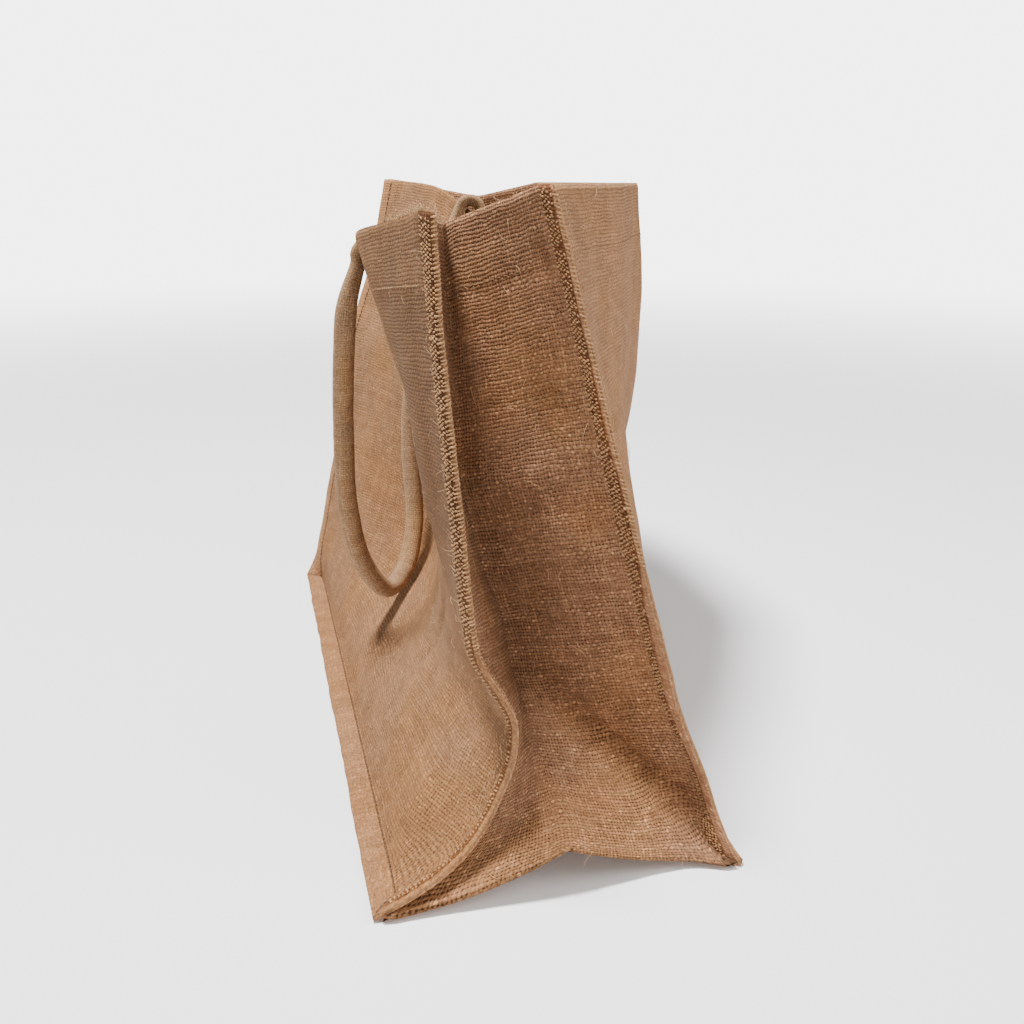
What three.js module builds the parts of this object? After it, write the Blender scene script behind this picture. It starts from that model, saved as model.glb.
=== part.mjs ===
import * as THREE from "three";

// Sizes in millimetres. +X is the near end of the long side, -Y the front panel, +Z up from the floor.
const PANEL_WIDTH = 396;
const CLOTH = 1.6;
const HEM_CLOTH = 2.6;
const GAP = 0.86;
const BASE_ALLOWANCE = 14;
const SHARPEST_MITRE = 0.6;
const FLOOR_SEAM = CLOTH + GAP / 2;
const ROPE_RADIUS = 6.5;
const ROPE_SIDES = 10;
const BEND_CLEARANCE = 2.1;
const LAID_CLEARANCE = 0.1;
const ROPE_STEP = 15;
const SEWN_DEPTH = 36;
const BEND_STEPS = 6;
const SEWN_FLATNESS = 0.55;
const ROUNDING = 34;
const RIM_BEND = HEM_CLOTH / 2 + BEND_CLEARANCE + ROPE_RADIUS * SEWN_FLATNESS;
const TIP_ROUNDING = { share: 0.7, depth: 1.5 };
const RIM_STEP = 0.02;

// Heights as a share of the panel's own height, and distances along it as a share of its width
const LEVELS = { foot: 0, toe: 0.06, ankle: 0.14, shin: 0.24, knee: 0.38, hip: 0.6, chest: 0.8, rim: 1 };
const HEM_LINE = 0.89;
const APEX = 0.3;
const LOW_ROWS = [0.025, 0.06, 0.1, 0.15, 0.2, 0.26, APEX];
const ROWS = [0, ...LOW_ROWS, 0.36, 0.43, 0.5, 0.57, 0.64, 0.71, 0.78, 0.84, 0.885, HEM_LINE, 0.945, 1];
const COLUMNS = 24;
const NEAR_CORNER = ROWS.length - 1;
const FAR_CORNER = NEAR_CORNER + COLUMNS;

// The front panel from its far seam (at 0) to its near seam (at 1): how far it leans towards the far
// end, its height, and its y at each level
const FRONT_SECTIONS = [
  { at: 0, lean: -26, height: 322, foot: -78.5, toe: -78, ankle: -72, shin: -65, knee: -54, hip: -41, chest: -18, rim: -2 },
  { at: 0.18, lean: -28, height: 318, foot: -78.5, toe: -69, ankle: -54, shin: -40, knee: -27, hip: -16, chest: -3, rim: 15 },
  { at: 0.36, lean: -34, height: 303, foot: -78.5, toe: -66, ankle: -40, shin: -10, knee: 0, hip: 4, chest: 13, rim: 26 },
  { at: 0.5, lean: -44, height: 294, foot: -78.5, toe: -67, ankle: -40, shin: -19, knee: -10, hip: -4, chest: -5, rim: -6 },
  { at: 0.64, lean: -55, height: 280, foot: -78.5, toe: -68, ankle: -50, shin: -32, knee: -22, hip: -20, chest: -30, rim: -52 },
  { at: 0.77, lean: -68, height: 296, foot: -78.5, toe: -67, ankle: -50, shin: -34, knee: -32, hip: -36, chest: -51, rim: -64 },
  { at: 0.9, lean: -70, height: 303, foot: -78.5, toe: -66, ankle: -46, shin: -30, knee: -36, hip: -47, chest: -52, rim: -55 },
  { at: 1, lean: -62, height: 309, foot: -78.5, toe: -50, ankle: -32, shin: -21, knee: -38, hip: -42, chest: -45, rim: -47 },
];

const BACK_SECTIONS = [
  { at: 0, lean: -26, height: 320, foot: 78, toe: 83, ankle: 88, shin: 92, knee: 98, hip: 106, chest: 112, rim: 114 },
  { at: 0.25, lean: -34, height: 320, foot: 78, toe: 84, ankle: 90, shin: 96, knee: 106, hip: 121, chest: 130, rim: 133 },
  { at: 0.45, lean: -44, height: 320, foot: 78, toe: 84, ankle: 90, shin: 96, knee: 110, hip: 129, chest: 134, rim: 133 },
  { at: 0.6, lean: -52, height: 320, foot: 78, toe: 84, ankle: 88, shin: 90, knee: 94, hip: 104, chest: 110, rim: 109 },
  { at: 0.75, lean: -58, height: 320, foot: 78, toe: 87, ankle: 90, shin: 90, knee: 86, hip: 80, chest: 80, rim: 77 },
  { at: 0.88, lean: -62, height: 320, foot: 78, toe: 85, ankle: 83, shin: 78, knee: 68, hip: 57, chest: 46, rim: 40 },
  { at: 1, lean: -62, height: 320, foot: 78, toe: 79, ankle: 72, shin: 59, knee: 48, hip: 33, chest: 21, rim: 7 },
];

// Each side seam's ridge by share of the height: how far it stands out, and which way it points in
// degrees in plan from +X
const FLARES = {
  frontNear: [{ share: 0, turn: -49, reach: 18.4 }, { share: 0.06, turn: -8, reach: 11 },
    { share: 0.12, turn: 12, reach: 9 }, { share: 0.8, turn: 12, reach: 9 }, { share: 1, turn: 20, reach: 10 }],
  backNear: [{ share: 0, turn: 49, reach: 18.4 }, { share: 0.06, turn: 20, reach: 9 },
    { share: 0.12, turn: 12, reach: 8 }, { share: 0.3, turn: 16, reach: 13 }, { share: 0.5, turn: 17, reach: 12.5 },
    { share: 0.8, turn: 15, reach: 9.5 },
    { share: 1, turn: 22, reach: 9 }],
  frontFar: [{ share: 0, turn: 229, reach: 18.4 }, { share: 0.08, turn: 200, reach: 11 },
    { share: 0.5, turn: 205, reach: 10 }, { share: 1, turn: 220, reach: 10 }],
  backFar: [{ share: 0, turn: 131, reach: 18.4 }, { share: 0.08, turn: 160, reach: 11 },
    { share: 0.5, turn: 158, reach: 10 }, { share: 1, turn: 150, reach: 10 }],
};

// The fold of each end: where its centre line lies, by share of the height, and the middle of its foot
const NEAR_FOLD = {
  foot: { x: 213, y: 2, z: 23 },
  frontFlat: true,
  crease: [{ share: 0.3, x: 117, y: -1, z: 66 }, { share: 0.37, x: 111, y: -5, z: 90 },
    { share: 0.54, x: 99, y: -18.5, z: 148 }, { share: 0.63, x: 92, y: -23, z: 177 },
    { share: 0.82, x: 78, y: -23, z: 239 }, { share: 1, x: 63, y: -23, z: 301 }],
};
const FAR_FOLD = {
  foot: { x: -210, y: 0, z: 19 },
  crease: [{ share: 0.3, x: -152, y: 6, z: 70 }, { share: 0.4, x: -156, y: 14, z: 112 },
    { share: 0.6, x: -166, y: 28, z: 180 }, { share: 0.8, x: -174, y: 42, z: 246 },
    { share: 1, x: -180, y: 54, z: 310 }],
};
// How high the base is pushed up along its middle
const BASE_RIDGE = [{ at: 0, rise: 17 }, { at: 0.2, rise: 12 }, { at: 0.5, rise: 12 },
  { at: 0.8, rise: 15 }, { at: 1, rise: 21 }];
const HALF_ACROSS = LOW_ROWS.map((share) => 0.5 * share / APEX);
const GUSSET_BASE_BOW = 0.18;
const BOW_SHAPE = 0.18;
const RISE_SHAPE = 1.6;
const SOFTENING = 0.4;
// Beside its four corners the gusset's cloth is drawn out along the ridges, so no open notch is left
const CORNER_HUG = { pull: 9, height: 16, spread: 0.08 };

// The front handle outside the bag, from the near leg's rim to the far leg's rim
const HANDLE_DROP = [
  { x: 6, y: -68, z: 255 }, { x: 0, y: -71, z: 225 }, { x: -9, y: -73, z: 175 }, { x: -18, y: -72, z: 125 },
  { x: -25, y: -64, z: 84 }, { x: -36, y: -47, z: 58 }, { x: -50, y: -33, z: 64 }, { x: -66, y: -22, z: 92 },
  { x: -78, y: -21, z: 141 }, { x: -82, y: -19, z: 172 }, { x: -84, y: -8, z: 230 },
];
const FRONT_LEGS = { near: 0.66, far: 0.37 };

// The back handle, laid down the inner face of its panel: where, and how far below the rim
const BACK_LOOP = [
  { at: 0.62, depth: 22 }, { at: 0.62, depth: 60 }, { at: 0.615, depth: 120 }, { at: 0.59, depth: 172 },
  { at: 0.54, depth: 212 }, { at: 0.47, depth: 226 }, { at: 0.4, depth: 210 }, { at: 0.35, depth: 170 },
  { at: 0.33, depth: 120 }, { at: 0.32, depth: 60 }, { at: 0.32, depth: 22 },
];

// A smooth curve through the rows of a table, without overshoot
function follow(rows, key, value, position) {
  const last = rows.length - 1;
  const x = rows.map((row) => row[key]);
  const y = rows.map((row) => row[value]);
  const slope = x.slice(1).map((next, i) => (y[i + 1] - y[i]) / (next - x[i]));
  const lean = (i) => {
    if (i === 0) return slope[0];
    if (i === last) return slope[last - 1];
    return slope[i - 1] * slope[i] <= 0 ? 0 : 2 * slope[i - 1] * slope[i] / (slope[i - 1] + slope[i]);
  };
  const found = x.findIndex((next, i) => i > 0 && position <= next);
  const i = found < 0 ? last - 1 : found - 1;
  const width = x[i + 1] - x[i];
  const t = Math.min(Math.max((position - x[i]) / width, 0), 1);
  const rest = 1 - t;
  return rest * rest * (1 + 2 * t) * y[i] + t * t * (3 - 2 * t) * y[i + 1]
    + t * rest * (rest * lean(i) - t * lean(i + 1)) * width;
}

function panelPoint(sections, at, share) {
  const levels = Object.entries(LEVELS).map(([name, level]) => (
    { level, y: follow(sections, "at", name, at) }
  ));
  const x = PANEL_WIDTH * (at - 0.5) + follow(sections, "at", "lean", at) * share;
  const z = FLOOR_SEAM + (follow(sections, "at", "height", at) - FLOOR_SEAM) * share;
  return new THREE.Vector3(x, follow(levels, "level", "y", share), z);
}

// The seam between a panel and the gusset: down the near side, along the base and up the far side
function seamPath(sections, nearFlare, farFlare, side) {
  const stations = [];
  [...ROWS].reverse().forEach((share) => stations.push({ at: 1, share, flare: nearFlare }));
  for (let i = COLUMNS - 1; i > 0; i -= 1) stations.push({ at: i / COLUMNS, share: 0 });
  ROWS.forEach((share) => stations.push({ at: 0, share, flare: farFlare }));
  stations.forEach((station) => {
    station.point = panelPoint(sections, station.at, station.share);
    if (station.flare) {
      const turn = THREE.MathUtils.degToRad(follow(station.flare, "share", "turn", station.share));
      const reach = follow(station.flare, "share", "reach", station.share);
      station.out = new THREE.Vector3(Math.cos(turn), Math.sin(turn), 0).multiplyScalar(reach);
    } else {
      station.out = new THREE.Vector3(0, side * BASE_ALLOWANCE, 0);
    }
  });
  const faces = stations.slice(1).map((after, i) => (
    after.point.clone().sub(stations[i].point).cross(stations[i].out.clone().add(after.out))
      .multiplyScalar(-side).normalize()
  ));
  stations.forEach((station, i) => {
    const one = faces[Math.max(i - 1, 0)];
    const other = faces[Math.min(i, faces.length - 1)];
    const across = one.clone().add(other).normalize();
    station.across = across.divideScalar(Math.max(across.dot(one), SHARPEST_MITRE));
  });
  return stations;
}

const FRONT_SEAM = seamPath(FRONT_SECTIONS, FLARES.frontNear, FLARES.frontFar, -1);
const BACK_SEAM = seamPath(BACK_SECTIONS, FLARES.backNear, FLARES.backFar, 1);
const RIDGE_COLUMNS = [0, 0.5, 1];

// A point of a seam's ridge, on the panel's side (1) or the gusset's side (-1) of it
function ridgePoint(station, reach, side) {
  return station.point.clone()
    .addScaledVector(station.out, reach)
    .addScaledVector(station.across, side * (CLOTH + GAP) / 2);
}

// Cloth on a net of quads: offset to both faces along the mean normals, then closed at every edge
function thicken(points, quads, outer, inner) {
  const normals = points.map(() => new THREE.Vector3());
  const faceNormals = [];
  quads.forEach((quad) => {
    const [a, b, c, d] = quad.map((k) => points[k]);
    const normal = c.clone().sub(a).cross(d.clone().sub(b)).normalize();
    faceNormals.push(normal);
    quad.forEach((k) => normals[k].add(normal));
  });
  const sharpest = points.map(() => 1);
  normals.forEach((normal) => normal.normalize());
  quads.forEach((quad, f) => quad.forEach((k) => {
    sharpest[k] = Math.min(sharpest[k], normals[k].dot(faceNormals[f]));
  }));
  const positions = [];
  [outer, inner.map((depth) => -depth)].forEach((offsets) => points.forEach((point, k) => {
    const mitre = offsets[k] / Math.max(sharpest[k], SHARPEST_MITRE);
    const moved = point.clone().addScaledVector(normals[k], mitre);
    positions.push(moved.x, moved.y, Math.max(moved.z, 0));
  }));
  const index = [];
  const edges = new Map();
  const shift = points.length;
  const split = ([a, b, c, d], alongFirst) => {
    const first = alongFirst ?? points[a].distanceTo(points[c]) <= points[b].distanceTo(points[d]);
    return first ? [[a, b, c], [a, c, d]] : [[a, b, d], [b, c, d]];
  };
  quads.forEach((quad) => {
    const [a, b, c, d] = quad;
    split(quad, quad.alongFirst).forEach(([p, q, r]) => {
      index.push(p, q, r);
      index.push(p + shift, r + shift, q + shift);
    });
    [[a, b], [b, c], [c, d], [d, a]].forEach(([p, q]) => {
      if (!edges.delete(`${q}_${p}`)) edges.set(`${p}_${q}`, [p, q]);
    });
  });
  edges.forEach(([p, q]) => {
    index.push(q, p, p + shift);
    index.push(q, p + shift, q + shift);
  });
  const geometry = new THREE.BufferGeometry();
  geometry.setAttribute("position", new THREE.Float32BufferAttribute(positions, 3));
  geometry.setIndex(index);
  geometry.computeVertexNormals();
  return geometry;
}

// A panel: its own net inside the seams, and the ridge around three sides of it
function panel(sections, seam, side) {
  const points = [];
  const outer = [];
  const inner = [];
  const quads = [];
  const add = (point, hem) => {
    points.push(point);
    outer.push(CLOTH / 2);
    inner.push(hem ? HEM_CLOTH - CLOTH / 2 : CLOTH / 2);
    return points.length - 1;
  };
  const ring = seam.map((station) => add(ridgePoint(station, 0, 1), false));
  const rowCount = ROWS.length;
  const net = ROWS.map((share, row) => {
    const line = [];
    for (let column = 0; column <= COLUMNS; column += 1) {
      if (column === COLUMNS) line.push(ring[rowCount - 1 - row]);
      else if (column === 0) line.push(ring[rowCount + COLUMNS - 2 + row + 1]);
      else if (row === 0) line.push(ring[rowCount - 1 + COLUMNS - column]);
      else line.push(add(panelPoint(sections, column / COLUMNS, share), share > HEM_LINE));
    }
    return line;
  });
  const face = (a, b, c, d, alongFirst) => {
    const quad = side < 0 ? [a, b, c, d] : [d, c, b, a];
    quad.alongFirst = alongFirst;
    quads.push(quad);
  };
  for (let row = 0; row + 1 < rowCount; row += 1) {
    for (let column = 0; column < COLUMNS; column += 1) {
      face(net[row][column], net[row][column + 1], net[row + 1][column + 1], net[row + 1][column]);
    }
  }
  let previous = ring;
  RIDGE_COLUMNS.slice(1).forEach((reach) => {
    const next = seam.map((station) => add(ridgePoint(station, reach, 1), false));
    for (let i = 0; i + 1 < seam.length; i += 1) {
      face(previous[i], previous[i + 1], next[i + 1], next[i], (i < FAR_CORNER) === (side < 0));
    }
    previous = next;
  });
  return thicken(points, quads, outer, inner);
}

const mix = (a, b, t) => a.clone().lerp(b, t);

// Across one end: flat facets from the seams to the fold, with a triangle standing at its foot
function endPoint(fold, front, back, share, across) {
  const foot = new THREE.Vector3(fold.foot.x, fold.foot.y, fold.foot.z);
  const at = Math.max(share, APEX);
  const crease = new THREE.Vector3(...["x", "y", "z"].map((key) => follow(fold.crease, "share", key, at)));
  if (share >= APEX) {
    return across < 0.5 ? mix(front.point, crease, across * 2) : mix(back.point, crease, 2 - across * 2);
  }
  const climb = share / APEX;
  const centre = mix(foot, crease, climb);
  const width = 0.5 * climb;
  if (fold.frontFlat && across < 0.5) return mix(front.point, centre, across * 2);
  const frontEdge = mix(front.corner, crease, climb);
  const backEdge = mix(back.corner, crease, climb);
  if (across < width) return mix(front.point, frontEdge, across / width);
  if (across > 1 - width) return mix(back.point, backEdge, (1 - across) / width);
  const t = THREE.MathUtils.clamp((across - width) / (1 - 2 * width), 0, 1);
  const chord = mix(frontEdge, backEdge, t);
  const bulge = centre.sub(mix(frontEdge, backEdge, 0.5));
  const bow = Math.sin(Math.PI * t) ** BOW_SHAPE;
  const rise = (1 - Math.abs(2 * t - 1)) ** RISE_SHAPE;
  return chord.add(new THREE.Vector3(bulge.x * bow, bulge.y * bow, bulge.z * rise));
}

function basePoint(at, across) {
  const roof = (1 - Math.abs(2 * across - 1)) ** RISE_SHAPE;
  const near = Math.max(0, 1 - (1 - at) / GUSSET_BASE_BOW) ** 2;
  const far = Math.max(0, 1 - at / GUSSET_BASE_BOW) ** 2;
  const bow = near * (NEAR_FOLD.foot.x - PANEL_WIDTH / 2) + far * (FAR_FOLD.foot.x + PANEL_WIDTH / 2);
  const x = PANEL_WIDTH * (at - 0.5) + bow * Math.sin(Math.PI * across) ** BOW_SHAPE;
  const y = THREE.MathUtils.lerp(FRONT_SECTIONS[0].foot, BACK_SECTIONS[0].foot, across);
  return new THREE.Vector3(x, y, FLOOR_SEAM + follow(BASE_RIDGE, "at", "rise", at) * roof);
}

function hugged(point, across, fromCorner) {
  const edge = Math.min(across, 1 - across);
  const fade = Math.exp(-((fromCorner / CORNER_HUG.height) ** 2) - edge / CORNER_HUG.spread);
  return point.setY(point.y + Math.sign(across - 0.5) * CORNER_HUG.pull * fade);
}

// The gusset: one strip down the near side, along the base and up the far side, softened at its folds
function gusset() {
  const inside = [...HALF_ACROSS, ...HALF_ACROSS.slice(0, -1).map((across) => 1 - across).reverse()];
  [FRONT_SEAM, BACK_SEAM].forEach((seam) => seam.forEach((station, i) => {
    station.corner = seam[i < (NEAR_CORNER + FAR_CORNER) / 2 ? NEAR_CORNER : FAR_CORNER].point;
  }));
  let strip = FRONT_SEAM.map((front, i) => {
    const back = BACK_SEAM[i];
    const fold = i < NEAR_CORNER ? NEAR_FOLD : FAR_FOLD;
    const fromCorner = front.point.distanceTo(front.corner);
    const middle = inside.map((across) => {
      const rising = front.flare && front.share > 0;
      const point = rising ? endPoint(fold, front, back, front.share, across) : basePoint(front.at, across);
      return hugged(point, across, fromCorner);
    });
    return [ridgePoint(front, 0, -1), ...middle, ridgePoint(back, 0, -1)];
  });
  strip = strip.map((line, i) => line.map((point, j) => {
    if (j === 0 || j === line.length - 1 || i === NEAR_CORNER || i === FAR_CORNER) return point;
    const mean = line[j - 1].clone().add(line[j + 1]);
    if (i === 0 || i === strip.length - 1) return mix(point, mean.multiplyScalar(0.5), SOFTENING);
    mean.add(strip[i - 1][j]).add(strip[i + 1][j]);
    return mix(point, mean.multiplyScalar(0.25), SOFTENING);
  }));
  const ridge = RIDGE_COLUMNS.slice(1);
  const lines = strip.map((line, i) => [
    ...[...ridge].reverse().map((reach) => ridgePoint(FRONT_SEAM[i], reach, -1)),
    ...line,
    ...ridge.map((reach) => ridgePoint(BACK_SEAM[i], reach, -1)),
  ]);
  const width = lines[0].length;
  const points = lines.flat();
  const hem = points.map((_, k) => {
    const i = Math.floor(k / width);
    const j = k % width;
    const share = FRONT_SEAM[i].share;
    const end = i < NEAR_CORNER || i > FAR_CORNER;
    return end && share > HEM_LINE && j > ridge.length && j < width - 1 - ridge.length;
  });
  const quads = [];
  for (let i = 0; i + 1 < lines.length; i += 1) {
    for (let j = 0; j + 1 < width; j += 1) {
      const k = i * width + j;
      const quad = [k, k + width, k + width + 1, k + 1];
      quad.alongFirst = (i < FAR_CORNER) !== (j < (width - 1) / 2);
      quads.push(quad);
    }
  }
  return thicken(points, quads, points.map(() => CLOTH / 2),
    hem.map((thick) => (thick ? HEM_CLOTH - CLOTH / 2 : CLOTH / 2)));
}

// How flat the rope is by the distance from its nearer tip: pressed flat where it is sewn down
function flatness(distance, sewn) {
  const rows = [{ distance: sewn, share: SEWN_FLATNESS }, { distance: sewn + ROUNDING, share: 1 }];
  return follow(rows, "distance", "share", distance);
}

// Directions around a rope at its stations, turned evenly so that the ends lie flat along the panel
function ringFrames(curve, stations, places, alongs) {
  let normal = alongs[0];
  const frames = stations.map((t) => {
    const tangent = curve.getTangent(t);
    normal = normal.clone().addScaledVector(tangent, -normal.dot(tangent)).normalize();
    return { centre: curve.getPoint(t), tangent, normal, binormal: tangent.clone().cross(normal) };
  });
  const last = frames[frames.length - 1];
  const twist = Math.atan(alongs[1].dot(last.binormal) / alongs[1].dot(last.normal));
  frames.forEach((frame, i) => {
    const angle = twist * places[i] / places[places.length - 1];
    frame.normal = frame.normal.clone().applyAxisAngle(frame.tangent, angle);
    frame.binormal = frame.binormal.clone().applyAxisAngle(frame.tangent, angle);
  });
  return frames;
}

// A padded rope: rings around a smooth route, closer at its bends, with a rounded end at each tip
function rope(route, sewn, alongs) {
  const curve = new THREE.CatmullRomCurve3(route, false, "centripetal");
  const spans = route.length - 1;
  const stations = [];
  for (let i = 0; i < spans; i += 1) {
    const count = Math.ceil(route[i].distanceTo(route[i + 1]) / ROPE_STEP);
    for (let k = 0; k < count; k += 1) stations.push((i + k / count) / spans);
  }
  stations.push(1);
  const places = [0];
  stations.slice(1).forEach((t, i) => (
    places.push(places[i] + curve.getPoint(t).distanceTo(curve.getPoint(stations[i])))
  ));
  const frames = ringFrames(curve, stations, places, alongs);
  const last = frames.length - 1;
  const positions = [];
  const rings = [];
  const addRing = (i, size, shift) => {
    const { centre, tangent, normal, binormal } = frames[i];
    const flat = flatness(Math.min(places[i], places[last] - places[i]), sewn);
    const ring = [];
    for (let k = 0; k < ROPE_SIDES; k += 1) {
      const angle = 2 * Math.PI * k / ROPE_SIDES;
      const point = centre.clone()
        .addScaledVector(tangent, shift)
        .addScaledVector(normal, size * ROPE_RADIUS * Math.cos(angle))
        .addScaledVector(binormal, size * ROPE_RADIUS * flat * Math.sin(angle));
      ring.push(positions.length / 3);
      positions.push(point.x, point.y, point.z);
    }
    rings.push(ring);
  };
  addRing(0, TIP_ROUNDING.share, -TIP_ROUNDING.depth);
  frames.forEach((_, i) => addRing(i, 1, 0));
  addRing(last, TIP_ROUNDING.share, TIP_ROUNDING.depth);
  const index = [];
  for (let r = 0; r + 1 < rings.length; r += 1) {
    for (let k = 0; k < ROPE_SIDES; k += 1) {
      const next = (k + 1) % ROPE_SIDES;
      index.push(rings[r][k], rings[r][next], rings[r + 1][next]);
      index.push(rings[r][k], rings[r + 1][next], rings[r + 1][k]);
    }
  }
  for (let k = 1; k + 1 < ROPE_SIDES; k += 1) {
    index.push(rings[0][0], rings[0][k + 1], rings[0][k]);
    index.push(rings[rings.length - 1][0], rings[rings.length - 1][k], rings[rings.length - 1][k + 1]);
  }
  const geometry = new THREE.BufferGeometry();
  geometry.setAttribute("position", new THREE.Float32BufferAttribute(positions, 3));
  geometry.setIndex(index);
  geometry.computeVertexNormals();
  return geometry;
}

// A place on a panel a little below its rim: its point, the way up and the way out of the bag
function nearRim(sections, at, depth, side) {
  const share = 1 - depth / follow(sections, "at", "height", at);
  const point = panelPoint(sections, at, share);
  const up = point.clone().sub(panelPoint(sections, at, share - RIM_STEP)).normalize();
  const along = panelPoint(sections, at + RIM_STEP, share).sub(panelPoint(sections, at - RIM_STEP, share));
  const out = along.clone().cross(up).multiplyScalar(-side).normalize();
  const centre = point.clone().addScaledVector(out, -(HEM_CLOTH - CLOTH) / 2);
  return { centre, up, out, along: along.normalize() };
}

function insideRim(sections, at, depth, side, clearance, flat) {
  const { centre, out } = nearRim(sections, at, depth, side);
  return centre.addScaledVector(out, -(HEM_CLOTH / 2 + clearance + ROPE_RADIUS * flat));
}

// From its sewn end on the inner face to the outside of the rim
function overRim(sections, at, side) {
  const points = [1, 0.6, 0.25].map((share) => (
    insideRim(sections, at, SEWN_DEPTH * share, side, BEND_CLEARANCE, SEWN_FLATNESS)
  ));
  const { centre, up, out } = nearRim(sections, at, 0, side);
  for (let i = 0; i <= BEND_STEPS; i += 1) {
    const angle = Math.PI * (1 - i / BEND_STEPS);
    points.push(centre.clone()
      .addScaledVector(out, RIM_BEND * Math.cos(angle))
      .addScaledVector(up, RIM_BEND * Math.sin(angle)));
  }
  return points;
}

function frontHandle() {
  const near = overRim(FRONT_SECTIONS, FRONT_LEGS.near, -1);
  const far = overRim(FRONT_SECTIONS, FRONT_LEGS.far, -1).reverse();
  const drop = HANDLE_DROP.map(({ x, y, z }) => new THREE.Vector3(x, y, z));
  const alongs = [FRONT_LEGS.near, FRONT_LEGS.far].map((at) => nearRim(FRONT_SECTIONS, at, 0, -1).along);
  return rope([...near, ...drop, ...far], SEWN_DEPTH + Math.PI * RIM_BEND, alongs);
}

function backHandle() {
  const top = BACK_LOOP[0].depth;
  const route = BACK_LOOP.map(({ at, depth }) => (
    insideRim(BACK_SECTIONS, at, depth, 1, LAID_CLEARANCE, flatness(depth - top, SEWN_DEPTH))
  ));
  const ends = [BACK_LOOP[0], BACK_LOOP[BACK_LOOP.length - 1]];
  return rope(route, SEWN_DEPTH, ends.map(({ at, depth }) => nearRim(BACK_SECTIONS, at, depth, 1).along));
}

const JUTE = { roughness: 0.95, metalness: 0 };
const part = new THREE.Group();
const addNode = (name, geometry, color) => {
  const mesh = new THREE.Mesh(geometry, new THREE.MeshStandardMaterial({ color, ...JUTE }));
  mesh.name = name;
  part.add(mesh);
};
addNode("front_panel", panel(FRONT_SECTIONS, FRONT_SEAM, -1), 0xb4936f);
addNode("back_panel", panel(BACK_SECTIONS, BACK_SEAM, 1), 0xb09070);
addNode("gusset_strip", gusset(), 0x8a6a4c);
addNode("handle_front", frontHandle(), 0xa88a62);
addNode("handle_back", backHandle(), 0xa88a62);

// The origin is the middle of the whole outline, on the floor
const middle = new THREE.Box3().setFromObject(part).getCenter(new THREE.Vector3());
part.children.forEach((mesh) => mesh.geometry.translate(-middle.x, -middle.y, 0));

export default part;
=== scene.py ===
"""A jute tote bag, slumped and folded at its near end: cloth, handles, sewing and stage."""

import math

import bpy
import numpy as np
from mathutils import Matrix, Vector


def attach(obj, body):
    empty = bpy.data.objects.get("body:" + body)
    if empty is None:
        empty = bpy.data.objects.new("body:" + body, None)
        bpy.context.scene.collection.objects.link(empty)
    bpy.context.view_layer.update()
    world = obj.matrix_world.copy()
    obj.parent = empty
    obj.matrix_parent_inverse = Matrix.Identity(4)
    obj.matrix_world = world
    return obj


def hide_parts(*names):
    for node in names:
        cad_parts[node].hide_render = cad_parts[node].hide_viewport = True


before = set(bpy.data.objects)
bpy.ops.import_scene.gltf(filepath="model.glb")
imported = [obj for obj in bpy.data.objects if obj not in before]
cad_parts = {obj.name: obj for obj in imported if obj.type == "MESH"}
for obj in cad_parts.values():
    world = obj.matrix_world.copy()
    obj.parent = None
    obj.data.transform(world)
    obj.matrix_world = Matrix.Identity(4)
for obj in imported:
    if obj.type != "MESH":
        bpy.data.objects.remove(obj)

bl_info = {
    "name": "Jute tote bag",
    "version": (1, 0, 0),
    "blender": (4, 5, 0),
    "location": "View3D > Sidebar > Tote bag",
    "description": "Makes the cloth, rope handles, sewing and loose fibres of a jute tote bag",
    "category": "Add Mesh",
}

# The bag's own sizes, in millimetres: +X is the near end, -Y the front panel, +Z up
MM = 0.001
MIDDLE = np.array([-9.672, 20.501, 0.0])
PANEL_WIDTH = 396
PANEL_HEIGHT = 320
HALF_GUSSET = 78
CLOTH = 1.6
HEM_CLOTH = 2.6
HEM_RISE = 0.15
GAP = 0.86
LOWEST = 0.05
BASE_ALLOWANCE = 14
RIDGE_WIDTH = 12
SHARPEST_MITRE = 0.6
FLOOR_SEAM = CLOTH + GAP / 2
# how far from its edges a panel bends to meet the seam
SIDE_FADE = 16
BASE_FADE = 8

# The rope handles
ROPE_RADIUS = 6.5
BEND_CLEARANCE = 2.1
LAID_CLEARANCE = 0.1
SEWN_DEPTH = 36
BEND_STEPS = 6
SEWN_FLATNESS = 0.55
ROUNDING = 34
RIM_BEND = HEM_CLOTH / 2 + BEND_CLEARANCE + ROPE_RADIUS * SEWN_FLATNESS
RIM_STEP = 0.02
# shares of the panel's width where the front handle's legs are sewn on
NEAR_LEG = 0.66
FAR_LEG = 0.37

# Heights on the cloth as shares of the whole, and the rows and columns of its nets
APEX = 0.3
HEM_LINE = 0.89
HEM_STITCHES = 0.9
LEVELS = (0, 0.06, 0.14, 0.24, 0.38, 0.6, 0.8, 1)
LOW_ROWS = (0.025, 0.06, 0.1, 0.15, 0.2, 0.26, APEX)
ROWS = (0, *LOW_ROWS, 0.36, 0.43, 0.5, 0.57, 0.64, 0.71, 0.78, 0.84, 0.885, HEM_LINE, 0.945, 1)
COLUMNS = 24
NEAR_CORNER = len(ROWS) - 1
FAR_CORNER = NEAR_CORNER + COLUMNS

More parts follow.
